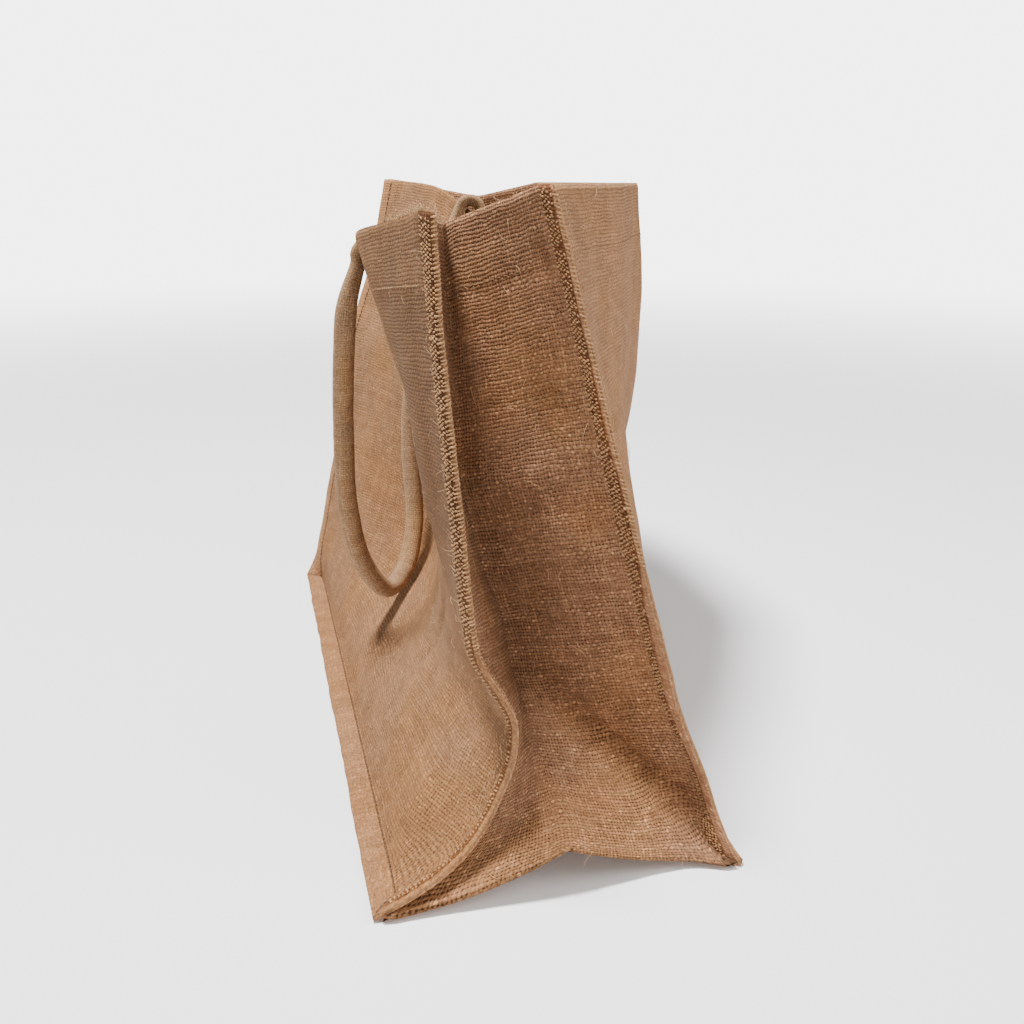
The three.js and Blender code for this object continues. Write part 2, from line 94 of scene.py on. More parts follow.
# at (0 far seam, 1 near seam), lean to the far end, height, then y at each of LEVELS
FRONT_SECTIONS = (
    (0, -26, 322, -78.5, -78, -72, -65, -54, -41, -18, -2),
    (0.18, -28, 318, -78.5, -69, -54, -40, -27, -16, -3, 15),
    (0.36, -34, 303, -78.5, -66, -40, -10, 0, 4, 13, 26),
    (0.5, -44, 294, -78.5, -67, -40, -19, -10, -4, -5, -6),
    (0.64, -55, 280, -78.5, -68, -50, -32, -22, -20, -30, -52),
    (0.77, -68, 296, -78.5, -67, -50, -34, -32, -36, -51, -64),
    (0.9, -70, 303, -78.5, -66, -46, -30, -36, -47, -52, -55),
    (1, -62, 309, -78.5, -50, -32, -21, -38, -42, -45, -47),
)
BACK_SECTIONS = (
    (0, -26, 320, 78, 83, 88, 92, 98, 106, 112, 114),
    (0.25, -34, 320, 78, 84, 90, 96, 106, 121, 130, 133),
    (0.45, -44, 320, 78, 84, 90, 96, 110, 129, 134, 133),
    (0.6, -52, 320, 78, 84, 88, 90, 94, 104, 110, 109),
    (0.75, -58, 320, 78, 87, 90, 90, 86, 80, 80, 77),
    (0.88, -62, 320, 78, 85, 83, 78, 68, 57, 46, 40),
    (1, -62, 320, 78, 79, 72, 59, 48, 33, 21, 7),
)
# share of the height, direction in plan in degrees from +X, how far the ridge stands out
FLARES = {
    "front_near": ((0, -49, 18.4), (0.06, -8, 11), (0.12, 12, 9), (0.8, 12, 9), (1, 20, 10)),
    "back_near": ((0, 49, 18.4), (0.06, 20, 9), (0.12, 12, 8), (0.3, 16, 13), (0.5, 17, 12.5),
                  (0.8, 15, 9.5), (1, 22, 9)),
    "front_far": ((0, 229, 18.4), (0.08, 200, 11), (0.5, 205, 10), (1, 220, 10)),
    "back_far": ((0, 131, 18.4), (0.08, 160, 11), (0.5, 158, 10), (1, 150, 10)),
}
# share of the height, then x, y, z of the fold's centre line
NEAR_FOLD = (
    (0.3, 117, -1, 66), (0.37, 111, -5, 90), (0.54, 99, -18.5, 148),
    (0.63, 92, -23, 177), (0.82, 78, -23, 239), (1, 63, -23, 301),
)
FAR_FOLD = (
    (0.3, -152, 6, 70), (0.4, -156, 14, 112), (0.6, -166, 28, 180), (0.8, -174, 42, 246), (1, -180, 54, 310),
)
NEAR_FOOT = np.array([213.0, 2, 23])
FAR_FOOT = np.array([-210.0, 0, 19])
# distance along the base, how high its middle is pushed up
BASE_RIDGE = ((0, 17), (0.2, 12), (0.5, 12), (0.8, 15), (1, 21))
# share of the base's length that bows out, how blunt the bow is, how sharp the roof over the base
GUSSET_BASE_BOW = 0.18
BOW_SHAPE = 0.18
RISE_SHAPE = 1.6
# the pull in millimetres, the share of the width it fades over
CORNER_HUG = (9, 0.08)
# how much of it goes along the ridge, into the corner and outwards, and how far from the corner each reaches
HUG_ALONG, HUG_NOOK, HUG_OUT = (1, 16), (0.9, 5), (0.7, 8)
# where the back panel's near foot is, how far it is drawn out, width of cloth that follows it
DRAWN_FOOT = (np.array([210.2, 91.8, 2]), np.array([10, -3, 0]), 20)

# height, size and what is added to the seed, for each ripple of the cloth
PANEL_SWELLS = ((1.3, 46, 0), (0.5, 17, 1))
GUSSET_SWELLS = ((1.2, 34, 0), (0.5, 15, 1))
PUCKERS = ((0.45, 8, 2),)
EDGE_SWELLS = ((0.02, 9, 0), (0.025, 31, 5))
EDGE_FLUTTER = ((0.22, 14, 9),)
# the puckers' distance from the seam, the square of their width
PUCKER_PLACE = (7, 40)

# x, y, z of the front handle's middle line outside the bag
HANDLE_DROP = (
    (6, -68, 255), (0, -71, 225), (-9, -73, 175), (-18, -72, 125), (-25, -64, 84), (-36, -47, 58),
    (-50, -33, 64), (-66, -22, 92), (-78, -21, 141), (-82, -19, 172), (-84, -8, 230),
)
# places on the flat cloth where a crease starts and ends, its width, its depth
CREASES = {
    "front_cloth": ((338, 152, 244, 34, 8, 4),),
    "back_cloth": (),
    "gusset_cloth": ((176, 338, 96, 240, 4.5, 6),),
}
# distance along the back panel, depth below its rim
BACK_LOOP = (
    (0.62, 22), (0.62, 60), (0.615, 120), (0.59, 172), (0.54, 212), (0.47, 226), (0.4, 210), (0.35, 170),
    (0.33, 120), (0.32, 60), (0.32, 22),
)


# Curves and surfaces


def column(values, like):
    return np.reshape(values, (-1,) + (1,) * (np.ndim(like) - 1))


def hermite(keys, values, slopes, wanted):
    i = np.clip(np.searchsorted(keys, wanted) - 1, 0, len(keys) - 2)
    width = column(keys[i + 1] - keys[i], values)
    t = np.clip((column(wanted, values) - column(keys[i], values)) / width, 0, 1)
    rest = 1 - t
    start = rest * rest * (1 + 2 * t) * values[i] + t * rest * rest * width * slopes[i]
    return start + t * t * (3 - 2 * t) * values[i + 1] - t * t * rest * width * slopes[i + 1]


def follow(keys, values, wanted):
    """A smooth curve through a table's rows, without overshoot."""
    keys, values, wanted = (np.asarray(a, float) for a in (keys, values, wanted))
    rise = np.diff(values, axis=0) / column(np.diff(keys), values)
    both = rise[:-1] * rise[1:]
    slopes = np.zeros_like(values)
    slopes[0], slopes[-1] = rise[0], rise[-1]
    slopes[1:-1] = np.where(both > 0, 2 * both / np.where(both > 0, rise[:-1] + rise[1:], 1), 0)
    return hermite(keys, values, slopes, wanted)


def through(keys, values, wanted):
    """A rounder curve through every row, for nets of points."""
    gaps = column(np.diff(keys), values)
    rise = np.diff(values, axis=0) / gaps
    slopes = np.empty_like(values)
    slopes[0], slopes[-1] = rise[0], rise[-1]
    slopes[1:-1] = (rise[:-1] * gaps[1:] + rise[1:] * gaps[:-1]) / (gaps[:-1] + gaps[1:])
    return hermite(keys, values, slopes, wanted)


def looked_up(table, wanted):
    """The values in a table's rows, led smoothly over its first column."""
    table = np.array(table, float)
    return follow(table[:, 0], table[:, 1:], wanted)


def unit(vectors):
    return vectors / np.maximum(np.linalg.norm(vectors, axis=-1, keepdims=True), 1e-9)


def mix(a, b, t):
    return a + (b - a) * t


def smooth_step(low, high, value):
    t = np.clip((value - low) / (high - low), 0, 1)
    return t * t * (3 - 2 * t)


def run(points):
    """Distance along a row of points, or the mean distance down the rows of a net."""
    steps = np.linalg.norm(np.diff(points, axis=0), axis=-1)
    return np.concatenate([[0], np.cumsum(steps.reshape(len(steps), -1).mean(1))])


def resampled(values, keys, wanted):
    """Rows of values at the wanted places between their keys."""
    return np.stack([np.interp(wanted, keys, part) for part in values.T], -1)


def border(net):
    """A panel's net along its seam: near side down, base, far side up."""
    return np.concatenate([net[::-1, -1], net[0, -2:0:-1], net[:, 0]])


def panel_grid(sections, ats, shares):
    """Points of a panel, one row for each share of its height."""
    ats, shares = np.atleast_1d(ats).astype(float), np.atleast_1d(shares).astype(float)
    lean, height, *levels = looked_up(sections, ats).T
    x = PANEL_WIDTH * (ats - 0.5) + shares[:, None] * lean
    z = FLOOR_SEAM + shares[:, None] * (height - FLOOR_SEAM)
    return np.stack([x, follow(LEVELS, levels, shares), z], -1)


def seam_path(sections, near, far, side):
    """The seam of a panel and the gusset: its points, and the ridge's directions out of it and across."""
    points = border(panel_grid(sections, np.linspace(0, 1, COLUMNS + 1), ROWS))
    out = np.zeros_like(points)
    out[:, 1] = side * BASE_ALLOWANCE
    near_place, far_place = slice(0, NEAR_CORNER + 1), slice(FAR_CORNER, None)
    for flare, rows, place in ((near, ROWS[::-1], near_place), (far, ROWS, far_place)):
        turn, reach = looked_up(FLARES[flare], rows).T
        out[place, 0], out[place, 1] = reach * np.cos(np.radians(turn)), reach * np.sin(np.radians(turn))
    faces = unit(np.cross(np.diff(points, axis=0), out[:-1] + out[1:]) * -side)
    one, other = np.concatenate([faces[:1], faces]), np.concatenate([faces, faces[-1:]])
    across = unit(one + other)
    mitre = np.maximum((across * one).sum(1), SHARPEST_MITRE)
    return points, out, across / mitre[:, None]


FRONT_SEAM = seam_path(FRONT_SECTIONS, "front_near", "front_far", -1)
BACK_SEAM = seam_path(BACK_SECTIONS, "back_near", "back_far", 1)
PATH_SHARES = np.array([*ROWS[::-1], *[0] * (COLUMNS - 1), *ROWS])
PATH_KEYS = run(FRONT_SEAM[0])
NEAR_SIDE, FAR_SIDE = PATH_KEYS[NEAR_CORNER], PATH_KEYS[FAR_CORNER]


def base_ats(path):
    """Where places along the base lie between the far seam, 0, and the near seam, 1."""
    return 1 - (path - NEAR_SIDE) / (FAR_SIDE - NEAR_SIDE)


def end_rows(fold, foot, seams, corners, shares, across):
    """One end of the bag: facets from the seams to the fold, and the triangle standing at its foot."""
    share = shares[:, None, None]
    a = across[None, :, None]
    crease = looked_up(fold, np.maximum(shares, APEX))[:, None]
    front, back = (seam[:, None] for seam in seams)
    upper = np.where(a < 0.5, mix(front, crease, a * 2), mix(back, crease, 2 - a * 2))
    climb = np.clip(share / APEX, 1e-6, 1)
    centre, width = mix(foot, crease, climb), 0.5 * climb
    front_edge, back_edge = mix(corners[0], crease, climb), mix(corners[1], crease, climb)
    t = np.clip((a - width) / np.maximum(1 - 2 * width, 1e-6), 0, 1)
    bulge = centre - mix(front_edge, back_edge, 0.5)
    bow, rise = np.sin(math.pi * t) ** BOW_SHAPE, (1 - abs(2 * t - 1)) ** RISE_SHAPE
    lower = mix(front_edge, back_edge, t) + bulge * np.concatenate([bow, bow, rise], -1)
    lower = np.where(a > 1 - width, mix(back, back_edge, (1 - a) / width), lower)
    lower = np.where(a < width, mix(front, front_edge, a / width), lower)
    if fold is NEAR_FOLD:
        lower = np.where(a < 0.5, mix(front, centre, a * 2), lower)
    return np.where(share >= APEX, upper, lower)


def drawn(points):
    """The back panel's near foot, drawn out along the floor to its tip."""
    place, pull, width = DRAWN_FOOT
    distance = np.linalg.norm(points - place, axis=-1, keepdims=True)
    return points + np.exp(-((distance / width) ** 2)) * pull


def hugged(grid, from_corner, across):
    """The gusset's corners drawn out along the ridges, which leaves no open notch beside them."""
    pull, width = CORNER_HUG
    shift = pull * np.exp(-np.minimum(across, 1 - across) / width)
    along, nook, out = (
        share * np.exp(-((from_corner / reach) ** 2))[:, None]
        for share, reach in (HUG_ALONG, HUG_NOOK, HUG_OUT)
    )
    outwards = np.sign(grid[..., 0]) * shift * out
    sideways = np.sign(across - 0.5) * shift * (along + nook)
    return drawn(grid + np.stack([outwards, sideways, 0 * outwards], -1))


def base_rows(ats, across):
    """The gusset under the bag, pushed up along its middle and bowed out at both ends."""
    at, a = ats[:, None], across[None]
    roof = (1 - abs(2 * a - 1)) ** RISE_SHAPE
    near, far = (np.maximum(0, 1 - end / GUSSET_BASE_BOW) ** 2 for end in (1 - at, at))
    bow = near * (NEAR_FOOT[0] - PANEL_WIDTH / 2) + far * (FAR_FOOT[0] + PANEL_WIDTH / 2)
    x = PANEL_WIDTH * (at - 0.5) + bow * np.clip(np.sin(math.pi * a), 0, 1) ** BOW_SHAPE
    y = np.broadcast_to(mix(FRONT_SECTIONS[0][3], BACK_SECTIONS[0][3], a), x.shape)
    return np.stack([x, y, FLOOR_SEAM + looked_up(BASE_RIDGE, ats) * roof], -1)


def gusset_grid(path, across):
    """The gusset inside its two seams: near end down, base, far end up."""
    path_shares = np.interp(path, PATH_KEYS, PATH_SHARES)
    rows = []
    for place, at, fold, foot, corner in (
        (path < NEAR_SIDE, 1, NEAR_FOLD, NEAR_FOOT, NEAR_CORNER),
        (path > FAR_SIDE, 0, FAR_FOLD, FAR_FOOT, FAR_CORNER),
    ):
        shares = path_shares[place]
        seams = [panel_grid(sections, at, shares)[:, 0] for sections in (FRONT_SECTIONS, BACK_SECTIONS)]
        corners = [seam[0][corner] for seam in (FRONT_SEAM, BACK_SEAM)]
        made = end_rows(fold, foot, seams, corners, shares, across)
        low = np.clip(shares / LOW_ROWS[0], 0, 1)[:, None, None]
        rows.append(mix(base_rows(np.array([at], float), across), made, low))
    base = base_ats(path[(path >= NEAR_SIDE) & (path <= FAR_SIDE)])
    return np.concatenate([rows[0], base_rows(base, across), rows[1]])


def softened(grid, passes, keep):
    """Each inner point drawn a little to its neighbours, except on the kept rows."""
    for _ in range(passes):
        soft = grid.copy()
        across = grid[:, :-2] + grid[:, 2:]
        soft[1:-1, 1:-1] = (across[1:-1] + grid[:-2, 1:-1] + grid[2:, 1:-1]) / 4
        soft[[0, -1], 1:-1] = across[[0, -1]] / 2
        soft[keep] = grid[keep]
        grid = mix(grid, soft, 0.5)
    return grid


def refine(net, path):
    """A seam's rows at these places along its path, with a sharp turn at both corners of the base."""
    parts = []
    for start, end in ((0, NEAR_CORNER), (NEAR_CORNER, FAR_CORNER), (FAR_CORNER, len(PATH_KEYS) - 1)):
        keys = PATH_KEYS[start : end + 1]
        chosen = path[(path >= keys[0]) & ((path < keys[-1]) | (end == len(PATH_KEYS) - 1))]
        parts.append(through(keys, net[start : end + 1], chosen))
    return np.concatenate(parts)


def path_steps(pitch):
    """Places along the seam's path, about one pitch apart, with one at each of its keys."""
    spans = zip(PATH_KEYS, PATH_KEYS[1:], strict=False)
    steps = [np.linspace(a, b, max(1, round((b - a) / pitch)), endpoint=False) for a, b in spans]
    return np.round(np.concatenate([*steps, PATH_KEYS[-1:]]), 6)


def ripple(size, seed, u, v=0.0):
    """Smooth random height from -1 to 1, one lattice value every size millimetres."""
    lattice = np.random.default_rng(seed).uniform(-1, 1, (64, 64))
    x, y = np.asarray(u) / size + 16, np.asarray(v) / size + 16
    i, j = np.floor(x).astype(int), np.floor(y).astype(int)
    s, t = smooth_step(0, 1, x - i), smooth_step(0, 1, y - j)
    one, other = (mix(lattice[i % 64, row % 64], lattice[(i + 1) % 64, row % 64], s) for row in (j, j + 1))
    return mix(one, other, t)


def rippled(swells, seed, u, v=0.0):
    """Several ripples together."""
    return sum(height * ripple(size, seed + step, u, v) for height, size, step in swells)


def creased(u, v, creases):
    """How far creases press the cloth in, each a straight valley on the flat cloth."""
    depth = np.zeros_like(u)
    for u0, v0, u1, v1, width, deep in creases:
        along = ((u - u0) * (u1 - u0) + (v - v0) * (v1 - v0)) / ((u1 - u0) ** 2 + (v1 - v0) ** 2)
        t = np.clip(along, 0, 1)
        off = np.hypot(u - mix(u0, u1, t), v - mix(v0, v1, t)) / width
        fade = np.sin(math.pi * np.clip(0.12 + 0.76 * t, 0, 1))
        depth -= deep * np.exp(-np.sqrt(off * off + 0.02) * 1.6) * fade
    return depth


def quads(numbers, order=(0, 1, 2, 3)):
    """Four-sided faces between the rows and columns of a net of point numbers."""
    corners = numbers[..., :-1, :-1], numbers[..., :-1, 1:], numbers[..., 1:, 1:], numbers[..., 1:, :-1]
    return np.stack([corners[k] for k in order], -1).reshape(-1, 4)


def rings(*shape):
    """Numbers for rings of points, and the same with each ring closed."""
    numbers = np.arange(math.prod(shape)).reshape(shape)
    return numbers, np.concatenate([numbers, numbers[..., :1]], -1)


class Sheet:
    """A net of cloth. Each row holds a point, its place on the flat cloth, its marks and both thicknesses."""

    def __init__(self):
        self.rows, self.faces = np.empty((0, 10)), []

    def add(self, points, flat, outer, inner, marks):
        """Adds a block of points and gives their numbers, in the block's own shape."""
        shape = points.shape[:-1]
        parts = points, flat, marks, outer[..., None], inner[..., None]
        block = np.concatenate([np.broadcast_to(part, (*shape, part.shape[-1])) for part in parts], -1)
        self.rows = np.concatenate([self.rows, block.reshape(-1, 10)])
        return np.arange(len(self.rows) - math.prod(shape), len(self.rows)).reshape(shape)

    def fill(self, numbers, turned):
        self.faces.append(quads(numbers, (3, 2, 1, 0) if turned else (0, 1, 2, 3)))

    def places(self):
        return self.rows[:, 3:5].T

    def build(self, name, material, shift):
        """Moves the net out by shift, thickens it to both sides and closes it along its open edges."""
        points, flat, marks, outer, inner = np.split(self.rows, (3, 5, 8, 9), 1)
        faces, count = np.concatenate(self.faces), len(points)
        corner = points[faces]
        normal = unit(np.cross(corner[:, 2] - corner[:, 0], corner[:, 3] - corner[:, 1]))
        mean = np.zeros_like(points)
        for k in range(4):
            np.add.at(mean, faces[:, k], normal)
        self.normal = mean = unit(mean)
        points = points + mean * shift[:, None]
        sharpest = np.ones(count)
        for k in range(4):
            np.minimum.at(sharpest, faces[:, k], (mean[faces[:, k]] * normal).sum(1))
        mitre = np.maximum(sharpest, SHARPEST_MITRE)[:, None]
        self.skin = points + mean * outer / mitre
        skins = np.concatenate([self.skin, points - mean * inner / mitre])
        directed = np.concatenate([faces[:, [k, (k + 1) % 4]] for k in range(4)])
        edges = directed[~np.isin(directed @ (count, 1), directed @ (1, count))]
        walls = np.stack([edges[:, 1], edges[:, 0], edges[:, 0] + count, edges[:, 1] + count], -1)
        faces = np.concatenate([faces, faces[:, ::-1] + count, walls]).tolist()
        return make_mesh(name, skins, faces, material, np.tile(flat, (2, 1)), np.tile(marks, (2, 1)))

    def leave(self, name, rows):
        """Keeps rows of points and their normals for the sewing and the loose fibres."""
        for word, row in rows.items():
            LINES[name + word] = self.skin[row], self.normal[row]


# what the cloth leaves for its sewing and its loose fibres, by the name of the line
LINES = {}
MARKS = ("band", "roll", "hem")


def new_object(name, data):
    thing = bpy.data.objects.new(name, data)
    bpy.context.scene.collection.objects.link(thing)
    return thing


def make_mesh(name, points, faces, material, flat=None, marks=None, corner_flat=None):
    """A mesh object from points in the bag's own millimetres, none of them under the floor."""
    mesh = bpy.data.meshes.new(name)
    points = np.maximum(points, (-np.inf, -np.inf, LOWEST))
    mesh.from_pydata(((points - MIDDLE) * MM).tolist(), [], faces)
    if flat is not None:
        corners = np.empty(len(mesh.loops), np.int32)
        mesh.loops.foreach_get("vertex_index", corners)
        corner_flat = flat[corners]
    if corner_flat is not None:
        layer = mesh.uv_layers.new(name="flat cloth")
        layer.data.foreach_set("uv", corner_flat.astype(np.float32).ravel())
    if marks is not None:
        for word, values in zip(MARKS, marks.T, strict=True):
            mesh.attributes.new(word, "FLOAT", "POINT").data.foreach_set("value", values.astype(np.float32))
    mesh.polygons.foreach_set("use_smooth", [True] * len(mesh.polygons))
    mesh.materials.append(material)
    mesh.update()
    return new_object(name, mesh)


HEM_MARK = np.array([0, 0, 1])
# shares of the height over which the hem begins and the rim's edge is rounded
HEM_STEP = (HEM_LINE - 0.006, HEM_LINE + 0.004)
RIM_ROUNDING = (0.992, 1.0001)
HEM_FADE = 8
# how far from the seams swells and creases are held back, and how much the hem holds back between two heights
PANEL_CALM, GUSSET_CALM, CREASE_CALM = 26, 22, 8
HEM_CALM, HEM_SPAN = 0.6, (300, 340)
RIDGE_REACHES = np.array([0, 0.12, 0.28, 0.44, 0.58, 0.68, 0.76, 0.83, 0.89, 0.94, 0.98, 1])
# where on a ridge its cloth begins to be pinched, how much thinner and how much closer it is at the edge
PINCH_START, PINCHED_CLOTH, PINCHED_GAP = 0.6, 0.35, 0.42


def hem_depths(shares, from_side):
    """Thickness to the outer and inner side of cloth with a hem folded in at its rim, and the hem's mark."""
    hem = smooth_step(*HEM_STEP, shares)[:, None] * smooth_step(0, HEM_FADE, from_side)
    edge = np.sqrt(np.clip(1 - smooth_step(*RIM_ROUNDING, shares) ** 2, 0.2, 1))[:, None]
    outer, inner = ((CLOTH / 2 + more * hem) * edge for more in (HEM_RISE, HEM_CLOTH - CLOTH))
    return outer, inner, hem[..., None] * HEM_MARK


def ridge_depth(reach):
    """Thickness of a ridge's cloth to either side: flat, and pinched at the edge."""
    return CLOTH / 2 * (1 - PINCHED_CLOTH * smooth_step(PINCH_START, 1, reach))


# distance along the seam, how far the open weave reaches out over the front and the back ridge
OPEN_WEAVE = np.array([
    (0, 0.97, 0.88), (120, 0.97, 0.84), (140, 0.97, 0.95), (165, 0.97, 0.9),
    (190, 0.93, 0.6), (250, 0.8, 0.52), (300, 0.78, 0.5), (330, 0.8, 0.7),
])
BASE_WEAVE = 0.06
# distances along the seam over which the front ridge's open weave draws back from the lip, and how far
LIP = (195, 250, 0.46)


def open_reach(seam, path):
    """Share of a ridge's width that is open weave: most of it beside the near side, none along the base."""
    reach = np.interp(path, OPEN_WEAVE[:, 0], OPEN_WEAVE[:, 1 if seam is FRONT_SEAM else 2])
    return mix(reach, BASE_WEAVE, smooth_step(NEAR_SIDE - 4, NEAR_SIDE + 2, path))


def open_start(seam, path):
    """Share of a ridge's width where the open weave begins: near the lip in the front ridge's lower part."""
    return smooth_step(*LIP[:2], path) * LIP[2] * (seam is FRONT_SEAM)


def ridge_marks(seam, path):
    """Where a ridge shows its open weave, and where it is dense and plain."""
    along, start, limit = RIDGE_REACHES[1:], open_start(seam, path)[:, None], open_reach(seam, path)[:, None]
    dense = smooth_step(limit - 0.02, limit + 0.06, along)
    return np.stack([smooth_step(start, start + 0.08, along) * (1 - dense), dense, 0 * dense], -1)


def ridge_net(seam, side, path, reach=RIDGE_REACHES[None]):
    """The ridge beside a seam, refined along its length, with a slightly uneven edge."""
    points, out, across = (refine(part, path) for part in seam)
    seed = 3 if seam is FRONT_SEAM else 4
    uneven = 1 + rippled(EDGE_SWELLS, seed, path)[:, None, None]
    flutter = rippled(EDGE_FLUTTER, seed, path)[:, None, None]
    reach = reach[..., None]
    net = points[:, None] + out[:, None] * reach * mix(1, uneven, reach)
    pinched = (CLOTH + GAP) / 2 * (1 - PINCHED_GAP * smooth_step(PINCH_START, 1, reach))
    return drawn(net + across[:, None] * (side * pinched + flutter * reach))


def add_ridge(sheet, line, net, flat, away, seam, path, turned):
    """Adds a ridge to an edge of the cloth, laid out beside it on the flat cloth, and gives its numbers."""
    reach, depth = RIDGE_REACHES[1:, None], ridge_depth(RIDGE_REACHES[1:])
    laid = flat[:, None] + away * reach * RIDGE_WIDTH
    block = sheet.add(net[:, 1:], laid, depth, depth, ridge_marks(seam, path))
    sheet.fill(np.concatenate([line[:, None], block], 1), turned)
    return block


def rumpled(name, sheet, from_seam, inside, pressed, swells, wrinkle, seed):
    """How far cloth moves out: swells inside its edges, puckers beside the seams, and creases."""
    u, v = sheet.places()
    place, width = PUCKER_PLACE
    pucker = rippled(PUCKERS, seed, u, v) * np.exp(-((from_seam - place) ** 2) / width) * (from_seam > 0)
    return wrinkle * (rippled(swells, seed, u, v) * inside + pucker) + creased(u, v, CREASES[name]) * pressed


def panel_piece(name, sections, seam, side, material, pitch, wrinkle, seed):
    """One panel with its hem and the ridge round three of its sides."""
    sheet, path = Sheet(), path_steps(pitch)
    first, last = (np.argmin(abs(path - key)) for key in (NEAR_SIDE, FAR_SIDE))
    path_shares = np.interp(path, PATH_KEYS, PATH_SHARES)
    shares, far_shares = path_shares[first::-1], path_shares[last:]
    ats = base_ats(path[first : last + 1])[::-1]
    line = ridge_net(seam, 1, path)[:, 0]
    near_line, base_line = line[first::-1], line[first : last + 1][::-1]
    far_line = resampled(line[last:], far_shares, shares)
    across = ats * PANEL_WIDTH
    near, far = (np.clip(1 - off / SIDE_FADE, 0, 1)[None, :, None] for off in (PANEL_WIDTH - across, across))
    base = np.clip(1 - shares * PANEL_HEIGHT / BASE_FADE, 0, 1)[:, None, None]
    plain = panel_grid(sections, ats, shares)
    grid = plain + (near_line - plain[:, -1])[:, None] * near + (far_line - plain[:, 0])[:, None] * far
    grid = grid + (base_line - plain[0]) * base * (1 - np.maximum(near, far))
    grid[0], grid[:, -1], grid[:, 0] = base_line, near_line, far_line
    flat = np.stack(np.broadcast_arrays(across, run(grid)[:, None]), -1)
    numbers = sheet.add(grid, flat, *hem_depths(shares, np.minimum(across, PANEL_WIDTH - across)))
    sheet.fill(numbers, side > 0)
    edge = border(flat)
    away = np.zeros_like(edge)
    away[: first + 1, 0], away[last:, 0], away[first : last + 1, 1] = 1, -1, -1
    rows = np.concatenate([path[:last], np.interp(shares, far_shares, path[last:])])
    net = ridge_net(seam, 1, rows)
    block = add_ridge(sheet, border(numbers), net, edge, away[:, None], seam, rows, side < 0)
    u, v = sheet.places()
    from_seam = np.minimum(np.minimum(u, PANEL_WIDTH - u), v)
    inside = smooth_step(0, PANEL_CALM, from_seam) * (1 - HEM_CALM * smooth_step(*HEM_SPAN, v))
    shift = rumpled(name, sheet, from_seam, inside, inside, PANEL_SWELLS, wrinkle, seed)
    piece = sheet.build(name, material, shift)
    hem, rim = numbers[np.argmin(abs(shares - HEM_STITCHES))], numbers[-1]
    seam_line, mitre = block[:, 0], block[first, 1:]
    sheet.leave(name, {"": numbers.ravel(), " hem": hem, " seam": seam_line, " mitre": mitre, " rim": rim})
    return piece


def gusset_piece(name, material, pitch, wrinkle, seed):
    """The gusset strip with a ridge along both of its seams."""
    sheet, path = Sheet(), path_steps(pitch)
    across = np.linspace(0, 1, 2 * round(HALF_GUSSET / pitch) + 1)
    front, back = ridge_net(FRONT_SEAM, -1, path), ridge_net(BACK_SEAM, -1, path)
    from_corner = np.minimum(abs(path - NEAR_SIDE), abs(path - FAR_SIDE))
    grid = hugged(gusset_grid(path, across), from_corner, across)
    grid[:, 0], grid[:, -1] = front[:, 0], back[:, 0]
    grid = softened(grid, 5, np.flatnonzero(from_corner < 1e-5))
    u, v = run(grid.swapaxes(0, 1)), run(grid)
    flat = np.stack(np.broadcast_arrays(u, v[:, None]), -1)
    shares = np.interp(path, PATH_KEYS, PATH_SHARES)
    numbers = sheet.add(grid, flat, *hem_depths(shares, np.minimum(u, u[-1] - u)))
    sheet.fill(numbers, True)
    for net, seam, edge, sign in ((front, FRONT_SEAM, 0, -1), (back, BACK_SEAM, -1, 1)):
        add_ridge(sheet, numbers[:, edge], net, flat[:, edge], np.array([sign, 0]), seam, path, sign > 0)
    x = sheet.places()[0]
    from_seam = np.minimum(x, u[-1] - x)
    inside, pressed = smooth_step(0, GUSSET_CALM, from_seam), smooth_step(0, CREASE_CALM, from_seam)
    shift = rumpled(name, sheet, from_seam, inside, pressed, GUSSET_SWELLS, wrinkle, seed)
    piece = sheet.build(name, material, shift)
    off, far = abs(shares - HEM_STITCHES), path > PATH_KEYS[-1] / 2
    near_hem, far_hem = (numbers[np.argmin(off + other)] for other in (far, ~far))
    rows = {"": numbers.ravel(), " near hem": near_hem, " far hem": far_hem, " near rim": numbers[0]}
    sheet.leave(name, rows)
    return piece


# Sewing, edges and loose fibres


def thin_tubes(name, paths, normals, radii, material, sides=5):
    """One mesh of many tubes, each along a row of points, with its own two radii at each point."""
    count, steps = paths.shape[:2]
    tangent = unit(np.gradient(paths, axis=1))
    first = unit(normals - tangent * (normals * tangent).sum(-1, keepdims=True))
    second = np.cross(tangent, first)
    wide, high = (np.broadcast_to(np.asarray(r, float), (count, steps, sides))[..., None] for r in radii)
    turn = np.linspace(0, math.tau, sides, endpoint=False)[:, None]
    ring = first[:, :, None] * np.sin(turn) * high + second[:, :, None] * np.cos(turn) * wide
    numbers, closed = rings(count, steps, sides)
    faces = quads(closed, (0, 3, 2, 1)).tolist() + numbers[:, 0].tolist() + numbers[:, -1, ::-1].tolist()
    return make_mesh(name, (paths[:, :, None] + ring).reshape(-1, 3), faces, material)


def stitches(line, length, gap, radius, lift, *skip):
    """Short stitches along a sewn line: paths, normals and radii for thin_tubes."""
    keys, share = run(line[0]), np.linspace(0, 1, 5)
    starts = np.arange(skip[0], keys[-1] - skip[1] - length, length + gap)
    paths, across = (resampled(part, keys, starts[:, None] + share * length) for part in line)
    paths = paths + across * (lift * np.sin(math.pi * share) - 0.15)[:, None]
    taper = np.array([0.55, 0.95, 1, 0.95, 0.55])[:, None] * radius
    return paths, across, (taper, taper)


# distance between points, both radii, length of one turn of the thread, how far it lies inside the edge
ROLL = (0.55, 0.7, 0.5, 1.8, 0.35)


